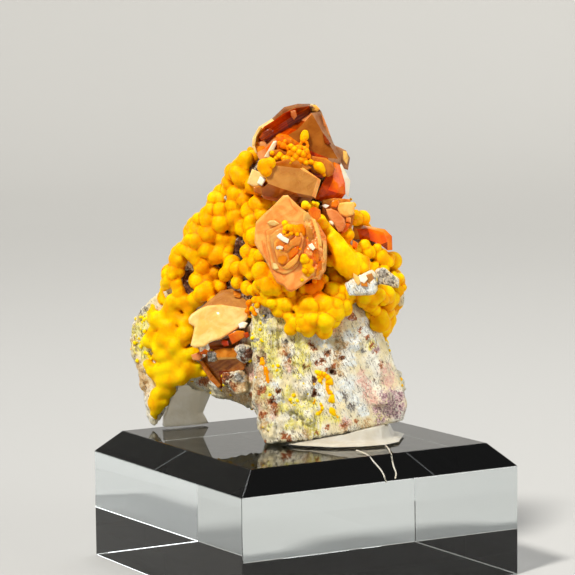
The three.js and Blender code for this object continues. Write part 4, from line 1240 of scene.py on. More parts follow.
@built_once
def strewn_grains(name):
    """Node group that strews small round grains over a surface where its cover attribute says."""
    sockets = [
        ("Surface", "Geometry", None), ("Spacing", "Float", 0.4 * MM), ("Smallest", "Float", 0.2 * MM),
        ("Largest", "Float", 0.42 * MM), ("Seed", "Int", 8), ("Finish", "Material", None),
    ]
    n, given, results = new_tree(name, "GeometryNodeTree", sockets, {"Grains": "Geometry"})
    spread = n.scattered(given, 5.0 / MM**2, {"Density Factor": n.named("cover")}).outputs
    grain = n.add("GeometryNodeMeshIcoSphere", {"Radius": 1.0, "Subdivisions": 2}).outputs[0]
    chance = {"Min": given["Smallest"], "Max": given["Largest"], "Seed": given["Seed"]}
    size = n.add("FunctionNodeRandomValue", chance, data_type="FLOAT").outputs[1]
    inputs = {"Points": spread["Points"], "Instance": grain, "Rotation": spread["Rotation"], "Scale": size}
    placed = n.add("GeometryNodeInstanceOnPoints", inputs).outputs[0]
    n.feed(results, {"Grains": n.completed(placed, given["Finish"])})
    return n.tree


def make_grains(sizes):
    mesh = bpy.data.objects["host_rock"].data.copy()
    places, toward = mesh_places(mesh), facing_camera(mesh)
    u, v = picture_places(places)
    cover, warmth = np.zeros(len(u)), np.full(len(u), BACK_TONE)
    for *spot, share, tone in GRAIN_PATCHES:
        here = share * round_spot(u, v, *spot) * toward
        warmth = np.where(here > cover, tone, warmth)
        cover = np.maximum(cover, here)
    low, high = BACK_HEIGHTS
    elsewhere = BACK_COVER * (1 - toward) * (places[:, 2] > low) * (places[:, 2] < high)
    write_attribute(mesh, "cover", np.maximum(cover, elsewhere))
    grains = new_piece("mimetite_grains", mesh)
    values = {"Smallest": sizes.grain_low, "Largest": sizes.grain_high}
    run_tree(grains, strewn_grains(), values | {"Finish": finish_of("waxy_mimetite")})
    near = points_tree(places)
    nearest = [near.find(Vector(spot))[1] for spot in mesh_places(grains.data)]
    write_attribute(grains.data, "warmth", warmth[nearest])
    write_attribute(grains.data, "crease", np.ones(len(nearest)))
    grains.data.shade_smooth()
    mount(covered(grains, "waxy_mimetite"), "mimetite")
    make_foot_beads()


# ---------- wulfenite ----------

TAPER = 0.93  # a plate's back is this share of its front
SOFT_EDGE = 0.09  # millimetres by which the crystals' edges are softened
SOFTENED_FROM = math.radians(22)  # edges turned more than this are softened
SHARP_FROM = math.radians(24)  # and those turned more than this stay sharp in the light
PLATE_EDGE = (1.5, 0.2)  # how far in a plate's edge starts to round, in picture points, and by how much
THIN_EDGE = (1.0, 0.12)


def gap_to_loop(points, loop):
    """Distance of each point of the picture from a closed line."""
    points, loop = np.asarray(points, float), np.asarray(loop, float)
    least = np.full(len(points), 1e9)
    for start, end in zip(loop, np.roll(loop, -1, axis=0)):
        along = end - start
        share = np.clip(((points - start) @ along) / max(along @ along, 1e-9), 0, 1)
        least = np.minimum(least, np.hypot(*(points - start - share[:, None] * along).T))
    return least


def honeycomb(outline, cell):
    """Points inside an outline, a cell apart in staggered rows."""
    low, high = outline.min(axis=0), outline.max(axis=0)
    inner = [
        (a + (0.5 * cell if row % 2 else 0), b)
        for row, b in enumerate(np.arange(low[1] + cell / 2, high[1], cell * 0.87))
        for a in np.arange(low[0] + cell / 2, high[0], cell)
    ]
    return [place for place, gap in zip(inner, gap_to_loop(inner, outline)) if gap > cell * 0.4]


def inner_ring(outline, width):
    """Points a width in from an outline's corners."""
    middle = outline.mean(axis=0)
    places = []
    for place in outline:
        toward = middle - place
        far = np.hypot(*toward)
        places.append(place + toward / far * min(width, far * 0.6))
    return places


class Crystal:
    """Gathers plates and facets that have grown together into one piece, each with its own tone."""

    def __init__(self):
        self.form = bmesh.new()
        # each point's share of veins and of painted shade at the feet of plates
        self.mark = self.form.verts.layers.float.new("mark")
        self.tones = []

    def toned(self, face, tone):
        """The face with its tone."""
        if tone not in self.tones:
            self.tones.append(tone)
        face.material_index = self.tones.index(tone)
        return face

    def close_behind(self, faces, depth, shrink, side):
        """Gives a patch of faces walls that go straight away from the camera, and a back."""
        rim = list(dict.fromkeys(e for f in faces for e in f.edges if len(e.link_faces) == 1))
        before = set(self.form.faces)
        made = bmesh.ops.extrude_edge_only(self.form, edges=rim)["geom"]
        behind = [g for g in made if isinstance(g, bmesh.types.BMVert)]
        middle = sum((v.co for v in behind), Vector()) / len(behind)
        away = (middle - EYE).normalized()
        for vert in behind:
            vert.co = middle + (vert.co - middle) * shrink + away * depth
        edges = [g for g in made if isinstance(g, bmesh.types.BMEdge) and len(g.link_faces) == 1]
        bmesh.ops.holes_fill(self.form, edges=edges, sides=0)
        added = [self.toned(face, side) for face in self.form.faces if face not in before]
        bmesh.ops.recalc_face_normals(self.form, faces=faces + added)

    def facets(self, points, faces, depth, side, shrink):
        """A form whose front is flat faces between named points, each given as u, v and y."""
        verts = {name: self.form.verts.new(seen_at(*place)) for name, place in points.items()}
        made = []
        for tone, names in faces:
            made.append(self.toned(self.form.faces.new([verts[name] for name in names.split()]), tone))
        self.close_behind(made, depth, shrink, side)

    def plate(
        self, loop, y, tone, lean=(0, 0), thick=1.5, side=None, edge=PLATE_EDGE,
        cell=0, relief=None, mark=None,
    ):
        """A plate with a rounded edge. Its outline is in u and v; its face leans by y per picture point."""
        outline = np.asarray(loop, float)
        middle = outline.mean(axis=0)
        places = list(outline) + (honeycomb(outline, cell) if cell else inner_ring(outline, edge[0] * 1.2))
        count = len(outline)
        ties = [(i, (i + 1) % count) for i in range(count)]
        flat = [Vector((float(p[0]), float(p[1]))) for p in places]
        points, _, faces, *_ = geometry.delaunay_2d_cdt(flat, ties, [list(range(count))], 1, 1e-4)
        spots = np.array([tuple(p) for p in points])
        drop = edge[1] * (1 - np.clip(gap_to_loop(spots, outline) / edge[0], 0, 1)) ** 2
        vein_and_shade_shares = mark(spots) if mark else np.zeros(len(spots))
        verts = []
        for (u, v), fall, vein_and_shade_share in zip(spots, drop, vein_and_shade_shares):
            depth = y + lean[0] * (u - middle[0]) + lean[1] * (v - middle[1]) + fall
            if relief:
                depth -= relief(u, v)
            vert = self.form.verts.new(seen_at(u, v, depth))
            vert[self.mark] = vein_and_shade_share
            verts.append(vert)
        made = []
        for corners in faces:
            face = self.toned(self.form.faces.new([verts[i] for i in corners]), tone)
            face.smooth = True
            made.append(face)
        self.close_behind(made, thick, TAPER, side or tone)

    def plates(self, rows, **settings):
        """Plates given as rows of outline, y, tone and, where they aren't the usual, lean and thickness."""
        for row in rows:
            self.plate(*row, **settings)

    def finish(self, name, *nodes, soften=SOFT_EDGE):
        """Softens the form's edges and puts it in place of its CAD node."""
        bmesh.ops.transform(self.form, matrix=SPECIMEN, verts=self.form.verts)
        piece = piece_of(self.form, name)
        for tone in self.tones:
            piece.data.materials.append(finish_of("wulfenite_" + tone))
        edges = {"width": soften * MM, "segments": 2, "limit_method": "ANGLE", "angle_limit": SOFTENED_FROM}
        modified(piece, "BEVEL", **edges)
        piece.data.shade_smooth()
        piece.data.set_sharp_from_angle(angle=SHARP_FROM)
        mount(piece, "wulfenite", *nodes)


def crown_hollow(crystal):
    """The crown's big hollow plate with its tan right face."""
    top = [(311, 103.8), (298, 103.6), (284, 107), (272, 118.5), (259, 126.5), (252.5, 139)]
    rim = [(309.5, 105.8), (296, 108), (284, 113), (274, 120.5), (264, 126.5), (257, 135)]
    deep = [(310, 109), (298, 114), (286, 120), (276, 127), (266, 133), (260, 141)]
    floor = [(311, 112), (301, 120), (289, 128), (279, 133), (270, 139), (263, 146)]
    lip = [(312, 113.5), (305, 121.5), (297, 129.5), (288, 135), (277, 138), (266, 148)]
    rows = {"s": (top, 0.9), "r": (rim, -1.3), "d": (deep, 0.3), "e": (floor, 0.5), "l": (lip, -2.1)}
    points = {name + str(i): (*place, y) for name, (row, y) in rows.items() for i, place in enumerate(row)}
    points |= {
        "l0": (312, 113.5, -1.9), "l1": (305, 121.5, -2), "l3": (288, 135, -2.3), "s5": (252.5, 139, -0.2),
        "a0": (252, 146, -0.6), "a1": (256, 153, -1.4), "a2": (260, 161, -2), "a3": (268, 171, -2.6),
        "a4": (300, 173, -2.9), "a5": (322, 178, -2.6), "a6": (332, 176, -2), "a7": (341, 166, -1.2),
        "o1": (315, 104.3, 0.6), "o2": (321.5, 111.5, 0.4), "o3": (327, 126, 0.1), "o4": (333, 142, -0.3),
        "o5": (341, 157, -0.8), "b2": (323, 133, -2.25), "b3": (330, 145, -2.25), "b4": (338, 159, -1.7),
        "c1": (328, 158, -2.5), "c2": (310, 150.5, -2.7),
    }
    faces = []
    tones = {
        "sr": ["smoky", "smoky", "smoky", "pale", "pale"],
        "rd": ["dusk", "deep", "deep", "deep", "orange"],
        "de": ["dusk", "dusk", "deep", "deep", "deep"],
        "el": ["pink", "dusk", "deep", "orange", "pink"],
    }
    for (near, far), row in tones.items():
        for i, tone in enumerate(row):
            corners = [near + str(i), near + str(i + 1), far + str(i + 1), far + str(i)]
            faces.append((tone, " ".join(corners)))
    faces += [
        ("pale", "s0 r0 o1"),
        ("rosy", "r0 d0 e0 l0 o2 o1"),
        ("rosy", "l0 b2 o3 o2"),
        ("rosy", "b2 b3 o4 o3"),
        ("rosy", "b3 b4 o5 o4"),
        ("tan", "l0 l1 l2 l3 c2 c1 b4 b3 b2"),
        ("orange", "s5 a0 a1 l5 e5 d5 r5"),
        ("pink", "a1 a2 a3 l5"),
        ("orange", "l5 a3 a4 c2 l3 l4"),
        ("deep", "c2 a4 a5 a6 c1"),
        ("rosy", "c1 a6 a7 o5 b4"),
    ]
    crystal.facets(points, faces, 2.6, "tan", 0.9)


def make_crown():
    crystal = Crystal()
    crown_hollow(crystal)
    plates = [
        # pale blade, orange facet and the bits round the curl of balls
        ([(264, 157), (273.5, 141), (277, 140.5), (277.5, 143), (270, 158)], -3.3, "glint", (0.05, 0),
         1.6),
        ([(276, 136), (283, 135), (292, 139), (296, 148), (287, 151), (277, 150)], -2.9, "orange",
         (0.02, 0.03), 1.2),
        ([(268, 151), (280, 149), (292, 153), (300, 160), (295, 166), (279, 166), (267, 160)], -3.3,
         "amber", (0, 0.03), 1.5),
        ([(272, 163), (288, 159), (303, 161), (312, 168), (304, 172), (286, 171), (272, 169)], -4.5,
         "amber", (0, 0.02), 1.8),
        ([(302, 160), (312, 156), (326, 158), (333, 163), (335, 169), (333, 175), (328, 177), (312, 172)],
         -3.5, "amber", (0.01, 0.02), 2),
        ([(290.5, 111), (295.5, 110), (297, 116), (294, 120), (291, 116)], -1.5, "pink", (0.1, 0.1), 2),
        ([(322.5, 132.5), (325.5, 136), (331, 144), (327.5, 145), (324.5, 143)], -2.5, "dusk", (0, 0), 1),
        ([(258, 142), (264, 140), (268, 146), (266, 151), (260, 151)], -1.2, "pink", (-0.04, 0), 1.6),
        ([(311, 105), (316, 105), (320, 109), (317, 112), (312, 111)], -0.6, "straw", (-0.02, 0.02), 1.4),
        ([(321, 113), (324, 118), (328, 128), (331, 137), (328.5, 136), (324, 126)], -0.9, "pink",
         (0.03, 0), 1.2),
        # pale rim and dark lumps of the hollow's left
        ([(259, 126.5), (262, 127), (256.5, 136), (254.8, 146), (257.5, 153.5), (255.5, 153), (252, 146),
          (252.6, 138)], -1.9, "pale", (0, 0), 1.2),
        ([(262, 132), (270, 128), (274, 131), (268, 138), (262, 141), (259, 138)], -1.6, "dusk",
         (0, 0.02), 1.4),
        # mass behind on the right
        ([(334, 145), (341, 148), (346, 150.5), (350, 158), (348, 170), (342, 168), (336, 156)], -0.3,
         "rosy", (0.03, 0), 2.6),
        ([(343, 151), (346.5, 151.5), (348.5, 158), (347, 165), (343.5, 160)], -0.8, "straw", (0.05, 0),
         1.8),
        # stub on the left
        ([(247, 183), (252, 169), (260, 172), (266, 178), (262, 186), (254, 187)], -4.7, "pale",
         (-0.03, -0.02), 2.6),
        ([(253, 187), (262, 185), (272, 189), (271, 195), (262, 196), (254, 192)], -5, "amber", (0, 0.03),
         2.6),
        ([(261, 195), (272, 193), (300, 198), (296, 202), (278, 202), (264, 199)], -4.9, "pink",
         (0, 0.05), 2.6),
        ([(302, 194), (310, 192), (313, 198), (308, 204), (298, 203)], -5.6, "rosy", (0, 0), 2.5),
        # glint on the stub: a plate turned towards the light, its near-white colour a painted highlight
        ([(257, 183), (260, 176), (266, 179.5), (262, 186)], -5.5, "glint", (-0.08, -0.05), 1),
    ]
    crystal.plates(plates)
    front = {
        "p0": (271, 169, -6.1), "p1": (277, 165.5, -6), "p2": (300, 168.5, -6.1),
        "p3": (317.5, 178.5, -6.5), "p4": (312, 196, -7.1), "p5": (296, 193, -7.25),
        "p6": (280, 188, -7.1), "p7": (268, 183.5, -6.9), "p8": (266, 177, -6.5),
        "q2": (303, 167.5, -5.6), "q3": (321, 180, -5.8), "q4": (315.5, 198.5, -6.4),
        "m4": (300, 197, -6.2), "m3": (278, 198, -6), "m2": (262, 195, -5.8), "m1": (261.5, 189, -6.2),
    }
    faces = [
        ("honey", "p0 p8 p7 p6 p5 p4 p3 p2 p1"),
        ("peach", "p2 p3 q3 q2"),
        ("peach", "p3 p4 q4 q3"),
        ("tan", "p7 m1 m2 m3 p6"),
        ("umber", "p6 m3 m4 p5"),
        ("rosy", "p5 m4 q4 p4"),
    ]
    crystal.facets(front, faces, 3.6, "tan", 0.95)
    low = {
        "g0": (323, 182, -2.9), "g1": (334, 162, -2.3), "g2": (340, 165, -1.9), "g3": (345, 183, -1.8),
        "g4": (345.5, 194, -1.8), "g5": (340, 201, -2), "g6": (328, 204, -2.5), "g7": (315, 199, -3.1),
        "h1": (333, 180, -2.9), "h2": (340, 184, -2.6), "h3": (337, 193, -2.8), "h4": (328, 190, -3.1),
        "w2": (341, 162.5, -0.9), "w3": (350.5, 181, -0.7), "w4": (348.5, 197, -0.9),
    }
    faces = [
        ("deep", "g0 h4 h1 g1"),
        ("glow", "g1 h1 h2 g3 g2"),
        ("glow", "h1 h4 h3 h2"),
        ("glow", "h2 h3 g4 g3"),
        ("deep", "g0 g7 g6 h3 h4"),
        ("deep", "h3 g6 g5 g4"),
        ("glint", "g2 g3 w3 w2"),
        ("glint", "g3 g4 w4 w3"),
    ]
    crystal.facets(low, faces, 3.4, "orange", 0.92)
    crystal.finish("crown", "wulfenite_crown")


ROSE_OUTLINE = [
    (283, 195.5), (288, 195), (291, 198.5), (300, 207), (309, 214), (318, 223), (326, 236), (327, 245),
    (327, 257), (326, 270), (320, 280), (311, 279), (303, 285), (296, 290), (291, 292), (287, 290.5),
    (284, 286.5), (277, 283), (271, 272), (266, 261), (259, 251), (254.5, 243), (255, 230), (256, 222),
    (265, 213), (275, 204),
]
ROSE_FACE = -11.2  # y of the rose's main plate
# The whorl of thin plates on the rose, from the lowest up: outline, how far it stands out, tone and lean.
PETALS = [
    ([(266, 231), (272, 228), (281, 224), (291, 221.5), (301, 223), (306.5, 231), (305.5, 246),
      (301.5, 258), (298, 266), (292, 271.5), (285, 274.5), (279, 273), (272, 268.5), (270, 257),
      (267, 244)], 0.2, "peach", (0.008, -0.006)),
    ([(270, 236), (277, 229.5), (289, 226), (299, 228), (304, 238), (301.5, 251), (297.5, 260.5),
      (291, 267), (283, 270), (276, 266.5), (273, 258), (270.5, 247)], 0.4, "peach", (-0.006, 0.006)),
    ([(274, 242), (281, 236), (292, 233), (301, 237), (300.5, 248), (296, 256), (290, 262), (284, 265.5),
      (277.5, 262), (275, 251)], 0.6, "rind", (0.01, 0.01)),
    ([(287.5, 253.5), (290.5, 249), (295, 247), (299, 246), (298.5, 252), (294, 257), (289.5, 259.5)],
     0.7, "glow", (-0.02, 0)),
    ([(277, 258), (280, 255), (284, 254.5), (287.5, 257.5), (286.5, 262), (282.5, 265), (278.5, 263)],
     0.7, "orange", (0, -0.02)),
    ([(283, 247), (289, 242), (296, 236), (301, 236.5), (301.5, 241), (299, 245), (293, 246.5),
      (288.5, 250.5), (285, 252)], 0.9, "rind", (0.014, 0.02)),
    ([(288, 262.5), (293, 258.5), (297.5, 254), (299, 257), (297, 262), (292.5, 267), (286.5, 270),
      (281.5, 269), (282, 266), (285.5, 265)], 0.75, "rind", (-0.03, 0.02)),
]
# Thin dark lines on the main plate: where its own edge has split, and where the hatching runs.
ROSE_LINES = [
    [(264, 243), (266.5, 254), (270, 264), (273, 272)],
    [(262, 241), (264.5, 252), (268, 262)],
    [(270.8, 255), (270.8, 267)],
    [(289, 199), (292, 206), (297, 211)],
    [(281, 273), (284, 277), (287, 274)],
    [(275, 219.5), (279.5, 222), (280.5, 225)],
    [(305, 283), (309, 279), (313, 276)],
    [(313, 216), (318, 223), (321, 231)],
    [(304, 236), (306, 248), (304, 258), (306, 270)],
    [(317, 244), (319, 256), (318, 268)],
]


def rose_relief(u, v):
    """Ragged right part and faint unevenness of the rose's main plate, in millimetres."""
    ragged_part = max(0.0, min(1.0, (u - 301) / 7)) * max(0.0, min(1.0, (290 - v) / 20))
    rough = 0.55 * noise.fractal(Vector((u * 0.13, v * 0.1, 9)), 0.9, 2.1, 4) + 0.12
    return ragged_part * rough + 0.05 * noise.noise(Vector((u * 0.2, v * 0.2, 7)))


def feet_of(outlines, lines=(), width=1.3):
    """Gives a plate painted shade at the feet of the plates on it, stronger on their lower right, and
    deeper tones along lines.
    """
    paths = [list(line) + list(line)[-2:0:-1] for line in lines]

    def mark(spots):
        amount = np.zeros(len(spots))
        for outline in outlines:
            lower_right = np.clip(0.75 + ((spots - np.mean(outline, axis=0)) @ (0.5, 0.86)) / 30, 0.35, 1.0)
            amount = np.maximum(amount, lower_right * np.exp(-((gap_to_loop(spots, outline) / width) ** 2)))
        for path in paths:
            amount = np.maximum(amount, 0.9 * np.exp(-((gap_to_loop(spots, path) / 0.7) ** 2)))
        return amount

    return mark


def rose_mark(spots):
    """Painted shade at the foot of the lowest petal, deeper tones along lines and the mottled right part of
    the rose's main plate.
    """
    amount = feet_of([PETALS[0][0]], ROSE_LINES)(spots)
    mottle = np.array([noise.noise(Vector((u * 0.16, v * 0.1, 1))) for u, v in spots])
    right = np.clip((spots[:, 0] - 302) / 8, 0, 1) * np.clip(mottle * 1.6 + 0.3, 0, 0.75)
    return np.clip(amount + right, 0, 1)


def make_rose():
    crystal = Crystal()
    main = {"thick": 3.4, "side": "orange", "edge": (2.2, 0.4), "cell": 0.95}
    lean = (0.002, -0.004)
    crystal.plate(ROSE_OUTLINE, ROSE_FACE, "peach", lean, relief=rose_relief, mark=rose_mark, **main)
    petal = {"thick": 0.8, "side": "orange", "edge": (1.1, 0.16), "cell": 1.2}
    for count, (loop, rise, tone, lean) in enumerate(PETALS, 1):
        # painted shade at the foot of each petal that stands on this one
        feet = feet_of([above[0] for above in PETALS[count:]])
        crystal.plate(loop, ROSE_FACE - rise, tone, lean, mark=feet, **petal)
    bits = [
        ([(267, 222.5), (270, 220.5), (275, 220.5), (280, 224), (275, 226), (269, 225)], -11.65, "pale",
         (0.05, 0.05)),
        ([(276.5, 236), (280, 233), (284, 236.5), (289, 239), (288, 243.5), (284, 242), (279, 239)],
         -12.2, "glint", (-0.03, -0.05)),
        ([(275, 246.5), (279, 245), (283.5, 247), (282, 249.5), (276, 249)], -12.05, "glint",
         (-0.03, -0.04)),
        ([(308, 245), (312, 243), (315.5, 248), (313, 250.5), (309.5, 248)], -12, "glint",
         (-0.04, -0.05)),
        ([(308, 210), (314, 206.5), (320.5, 210), (321, 217), (316, 222), (310, 219)], -10.6, "orange",
         (0.03, 0.02)),
        ([(303, 214), (308, 212), (312, 220), (308, 226), (303, 221)], -11.2, "peach", (0.06, 0.02)),
        ([(312, 219), (315, 219), (320, 232), (322, 246), (319, 246), (316, 233)], -11.6, "straw",
         (0.06, -0.02)),
        ([(323, 240), (326.5, 241), (326, 262), (324, 273), (321.5, 272), (323, 258)], -11.4, "peach",
         (0.06, 0)),
        ([(313, 250), (317, 249), (320, 256), (318, 264), (314, 260)], -11.6, "orange", (0.04, 0)),
        ([(318, 262), (325, 260), (326, 270), (321, 279), (316, 276)], -11.3, "orange", (0.06, 0.02)),
        ([(272, 262), (276, 263), (279, 268.5), (274, 269.5)], -11.75, "pale", (0, -0.04)),
        ([(306, 226), (311, 228), (314, 238), (310, 242), (306, 234)], -11.7, "amber", (0.05, 0)),
    ]
    crystal.plates(bits, thick=1.4, edge=THIN_EDGE)
    crystal.finish("rose", "wulfenite_rose", soften=0.05)


def shelf_relief(u, v):
    """Gentle waves, a dimple and small growth steps on the shelf's face, in millimetres."""
    waves = 0.16 * noise.fractal(Vector((u * 0.05, v * 0.09, 2)), 1.0, 2.0, 3)
    dimple = -0.35 * math.exp(-((u - 215) ** 2 + (v - 311) ** 2) / 18)
    step = 0.12 / (1 + math.exp(max(-40, min(40, (v - 322 - 0.25 * (u - 220)) * 1.5))))
    return waves + dimple + step


def make_shelf():
    crystal = Crystal()
    face = [
        (188.3, 318.9), (191, 314.4), (199, 308.9), (207.8, 305.5), (221, 304.5), (234.4, 306.5),
        (250, 309), (249.4, 315.5), (244.4, 323.3), (234.4, 330.5), (221, 339), (210, 342.2),
        (204.4, 346.7), (194.4, 347.8), (190.5, 345.5), (193.3, 333.3), (194.4, 326.7), (189, 323.3),
    ]
    broad = {"edge": (2.2, 0.3), "relief": shelf_relief}
    crystal.plate(face, -4.9, "pale", (0.004, -0.062), 3.4, "orange", cell=1.8, **broad)
    upper = [
        (200, 309), (208, 301), (221, 290.5), (234.4, 288), (243.3, 289.4), (246, 295.5), (250.5, 303.3),
        (250, 311), (234, 309), (221, 308),
    ]
    broad["relief"] = lambda u, v: 0.5 * shelf_relief(u, v)
    crystal.plate(upper, -1.9, "honey", (-0.01, -0.13), 3, "amber", cell=2.4, **broad)
    bits = [
        ([(238, 324), (243, 321.5), (248, 323), (245, 328), (239.5, 328.5)], -5.2, "glint", (0, -0.06),
         1.2),
        ([(208, 343), (221, 340), (229, 338), (248, 339), (246, 347), (222, 348), (210, 349)], -3,
         "umber", (0, 0.03), 2.2),
        ([(233, 291), (239, 289.5), (243, 293), (240, 298), (234, 297)], -1.7, "amber", (0, -0.13), 1.5),
    ]
    crystal.plates(bits)
    crystal.finish("shelf", "wulfenite_shelf")


def make_keel():
    crystal = Crystal()
    points = {
        "k0": (210, 347.8, -3.2), "k1": (222, 346.5, -3.6), "k2": (234.4, 347.8, -4),
        "k3": (240, 354, -4.6), "k4": (219, 359, -3.6), "k5": (206, 356, -2.6), "k6": (244.4, 369, -4.4),
        "k7": (228, 370.5, -3.6), "k8": (208, 364.4, -2.4), "k9": (201, 359, -1.8),
        "n1": (203, 370, -1.4), "n2": (212, 381, -1.4), "n3": (221, 389, -1.6), "n4": (230, 378, -3),
        "n5": (247, 361, -3.9), "n6": (219, 371, -3.1),
    }
    faces = [
        ("umber", "k0 k5 k4 k3 k2 k1"),
        ("umber", "k4 k8 k7 k6 k3"),
        ("smoky", "k5 k9 k8 k4"),
        ("amber", "k9 n1 n2 k8"),
        ("umber", "k8 n2 n3 n6"),
        ("umber", "k8 n6 k7"),
        ("dusk", "n6 n3 n4 k7"),
        ("umber", "k7 n4 k6"),
        ("tan", "k3 k6 n5"),
    ]
    crystal.facets(points, faces, 3.2, "umber", 0.85)
    bits = [
        ([(213, 351), (222, 348), (234, 348.5), (238, 354), (235, 359), (218, 359.5)], -4.6, "amber",
         (0, -0.03), 1.6),
        ([(217, 357.5), (236, 357), (237, 359), (218, 360)], -4.9, "honey", (0, 0), 0.8),
        ([(223, 340), (228, 341), (229, 346), (224, 346.5), (221, 343)], -5.2, "deep", (0, 0), 1.6),
        ([(228, 335), (237, 330.5), (244, 331), (247, 336), (240, 340), (232, 344.5)], -5.4, "orange",
         (0, 0.04), 2.2),
        ([(243, 333), (248, 332), (249.5, 336), (246, 338.5)], -5.6, "deep", (0, 0), 1.4),
        ([(198, 352), (205, 348.5), (209, 351), (207, 354.5), (200, 354)], -4.2, "glow", (0, 0), 2),
        ([(199, 351), (203, 348.5), (205, 348.5), (201, 352)], -4.6, "glint", (0, 0), 1),
        ([(191, 355), (199, 352), (203, 357), (199, 361), (193, 360)], -3.4, "pink", (0, 0), 2),
        ([(199, 361), (203, 361), (213, 375), (221, 385), (218, 388), (209, 379)], -2.6, "amber", (0, 0),
         1.6),
    ]
    crystal.plates(bits, edge=THIN_EDGE)
    crystal.finish("keel", "wulfenite_keel")


def make_blade():
    crystal = Crystal()
    points = {
        "a": (350, 232.5, -0.3), "b": (352.5, 225.5, 0.1), "c": (362.5, 224.8, 0),
        "d": (377.5, 227.8, 0.1), "e": (385, 229.2, 0.2), "f": (392, 236, 0.4), "g": (392.5, 250, 0),
        "h": (387.5, 250.5, -0.4), "i": (380, 244.5, -0.5), "j": (370, 240.5, -0.6),
        "k": (360, 239.5, -0.6), "l": (353.8, 239.3, -0.5), "m": (368, 228.4, -0.6),
        "n": (384, 232.5, -0.5), "o": (387.5, 242, -0.55), "p": (357, 229, -0.7),
    }
    faces = [
        ("amber", "a l k p b"),
        ("tan", "b p m c"),
        ("deep", "p k j m"),
        ("amber", "c m n d"),
        ("glow", "m j i o n"),
        ("amber", "d n e"),
        ("orange", "e n o f"),
        ("orange", "f o h g"),
        ("dusk", "o i h"),
    ]
    crystal.facets(points, faces, 2.4, "orange", 0.95)
    crystal.finish("blade", "wulfenite_blade")


def make_chips():
    square, pink = Crystal(), Crystal()
    loop = [
        (338.5, 203), (346, 201.8), (354, 202), (355, 207.5), (353.5, 214.5), (346, 217.5), (340, 214.5),
        (337.5, 209),
    ]
    square.plate(loop, -4.4, "straw", (0.01, -0.01), 2.2, "amber")
    square.finish("chip_square", "wulfenite_chip_square")
    loop = [
        (326, 209), (331, 208.5), (337, 211), (344.4, 218.5), (346, 225), (343, 231), (338.8, 232.5),
        (335, 226), (330, 220), (327, 214),
    ]
    pink.plate(loop, -5.8, "pink", (0.01, -0.01), 2, "orange")
    pink.plate([(344, 222.5), (350.5, 224), (347, 231), (342, 234)], -5.3, "orange", (0.03, 0), 1.6)
    loop = [(328.8, 221), (332, 220.5), (334, 223), (333, 225.5), (330, 224)]
    pink.plate(loop, -6, "glint", (0, -0.05), 0.9)
    pink.finish("chip_pink", "wulfenite_chip_pink")


def make_ledge_crystals():
    crystal = Crystal()
    bits = [
        ([(353, 273), (357, 275), (362, 282), (358, 286), (354, 280)], -10.6, "pale", (0.02, -0.02)),
        ([(359, 275), (365, 274), (368, 279), (364, 284), (359, 281)], -10.6, "glint", (-0.03, -0.05)),
        ([(366, 275), (372, 273), (374, 279), (370, 285), (366, 281)], -10.4, "honey", (0.03, -0.03)),
        ([(361, 281), (367, 281), (368, 287), (361, 286)], -10.8, "amber", (0, -0.04)),
        ([(371, 283), (374.5, 282), (375, 289), (372, 290)], -10.4, "pale"),
        ([(322, 200), (334, 198), (350, 199), (355, 214), (350, 234), (341, 240), (331, 231), (322, 215)],
         -3.9, "amber"),
        ([(353, 240), (358, 243), (357, 249), (352, 247)], -5.4, "orange"),
        ([(332, 201), (338, 199.5), (340, 204), (336, 208), (331, 206.5)], -4.4, "orange"),
        ([(321, 205.5), (325, 204), (329.5, 205.5), (326, 208.5)], -5, "glint", (0, -0.05)),
        ([(346, 217), (351, 217.5), (351, 223), (346, 222)], -4.3, "peach"),
    ]
    crystal.plates(bits, edge=THIN_EDGE)
    crystal.finish("ledge_crystals")


def make_crystals():
    for make in (make_crown, make_rose, make_shelf, make_keel, make_blade, make_chips, make_ledge_crystals):
        make()


# ---------- glue and block ----------

# The strings that run from the front pad over the block's edge, in the row frame's millimetres.
STRINGS = [
    [(-0.3, -17.5, 21.3), (-0.3, -20.6, 21.05), (-0.3, -22.1, 20.4), (0.4, -23.7, 18.8),
     (0.4, -24.9, 17.3)],
    [(6.3, -13.5, 21.4), (6.1, -16, 21.1), (4.1, -20.2, 21.05), (2.9, -23, 19.5), (2.7, -24.1, 18.4),
     (2.1, -24.8, 17.7)],
]


GLUE_GRAIN = 0.22  # millimetres between the glue mesh's points


@built_once
def glue_string(name):
    """Node group that gives a path a round section."""
    sockets = [("Path", "Geometry", None), ("Thickness", "Float", 0.25 * MM), ("Finish", "Material", None)]
    n, given, results = new_tree(name, "GeometryNodeTree", sockets, {"String": "Geometry"})
    path = n.add("GeometryNodeMeshToCurve", {"Mesh": given["Path"]}).outputs[0]
    half = n.times(given["Thickness"], 0.5)
    ring = n.add("GeometryNodeCurvePrimitiveCircle", {"Resolution": 8, "Radius": half}).outputs[0]
    inputs = {"Curve": path, "Profile Curve": ring, "Fill Caps": True}
    tube = n.add("GeometryNodeCurveToMesh", inputs).outputs[0]
    n.feed(results, {"String": n.completed(tube, given["Finish"])})
    return n.tree


def smooth_path(points, steps=6):
    """A finer path through points given in millimetres."""
    points = [Vector(point) for point in points]
    padded = [points[0], *points, points[-1]]
    path = []
    for before, start, end, after in zip(padded, padded[1:], padded[2:], padded[3:]):
        leave, reach = (end - before) / 2, (after - start) / 2
        for step in range(steps):
            t = step / steps
            blend = (2 * t**3 - 3 * t**2 + 1, t**3 - 2 * t**2 + t, -2 * t**3 + 3 * t**2, t**3 - t**2)
            path.append(start * blend[0] + leave * blend[1] + end * blend[2] + reach * blend[3])
    return [*path, points[-1]]


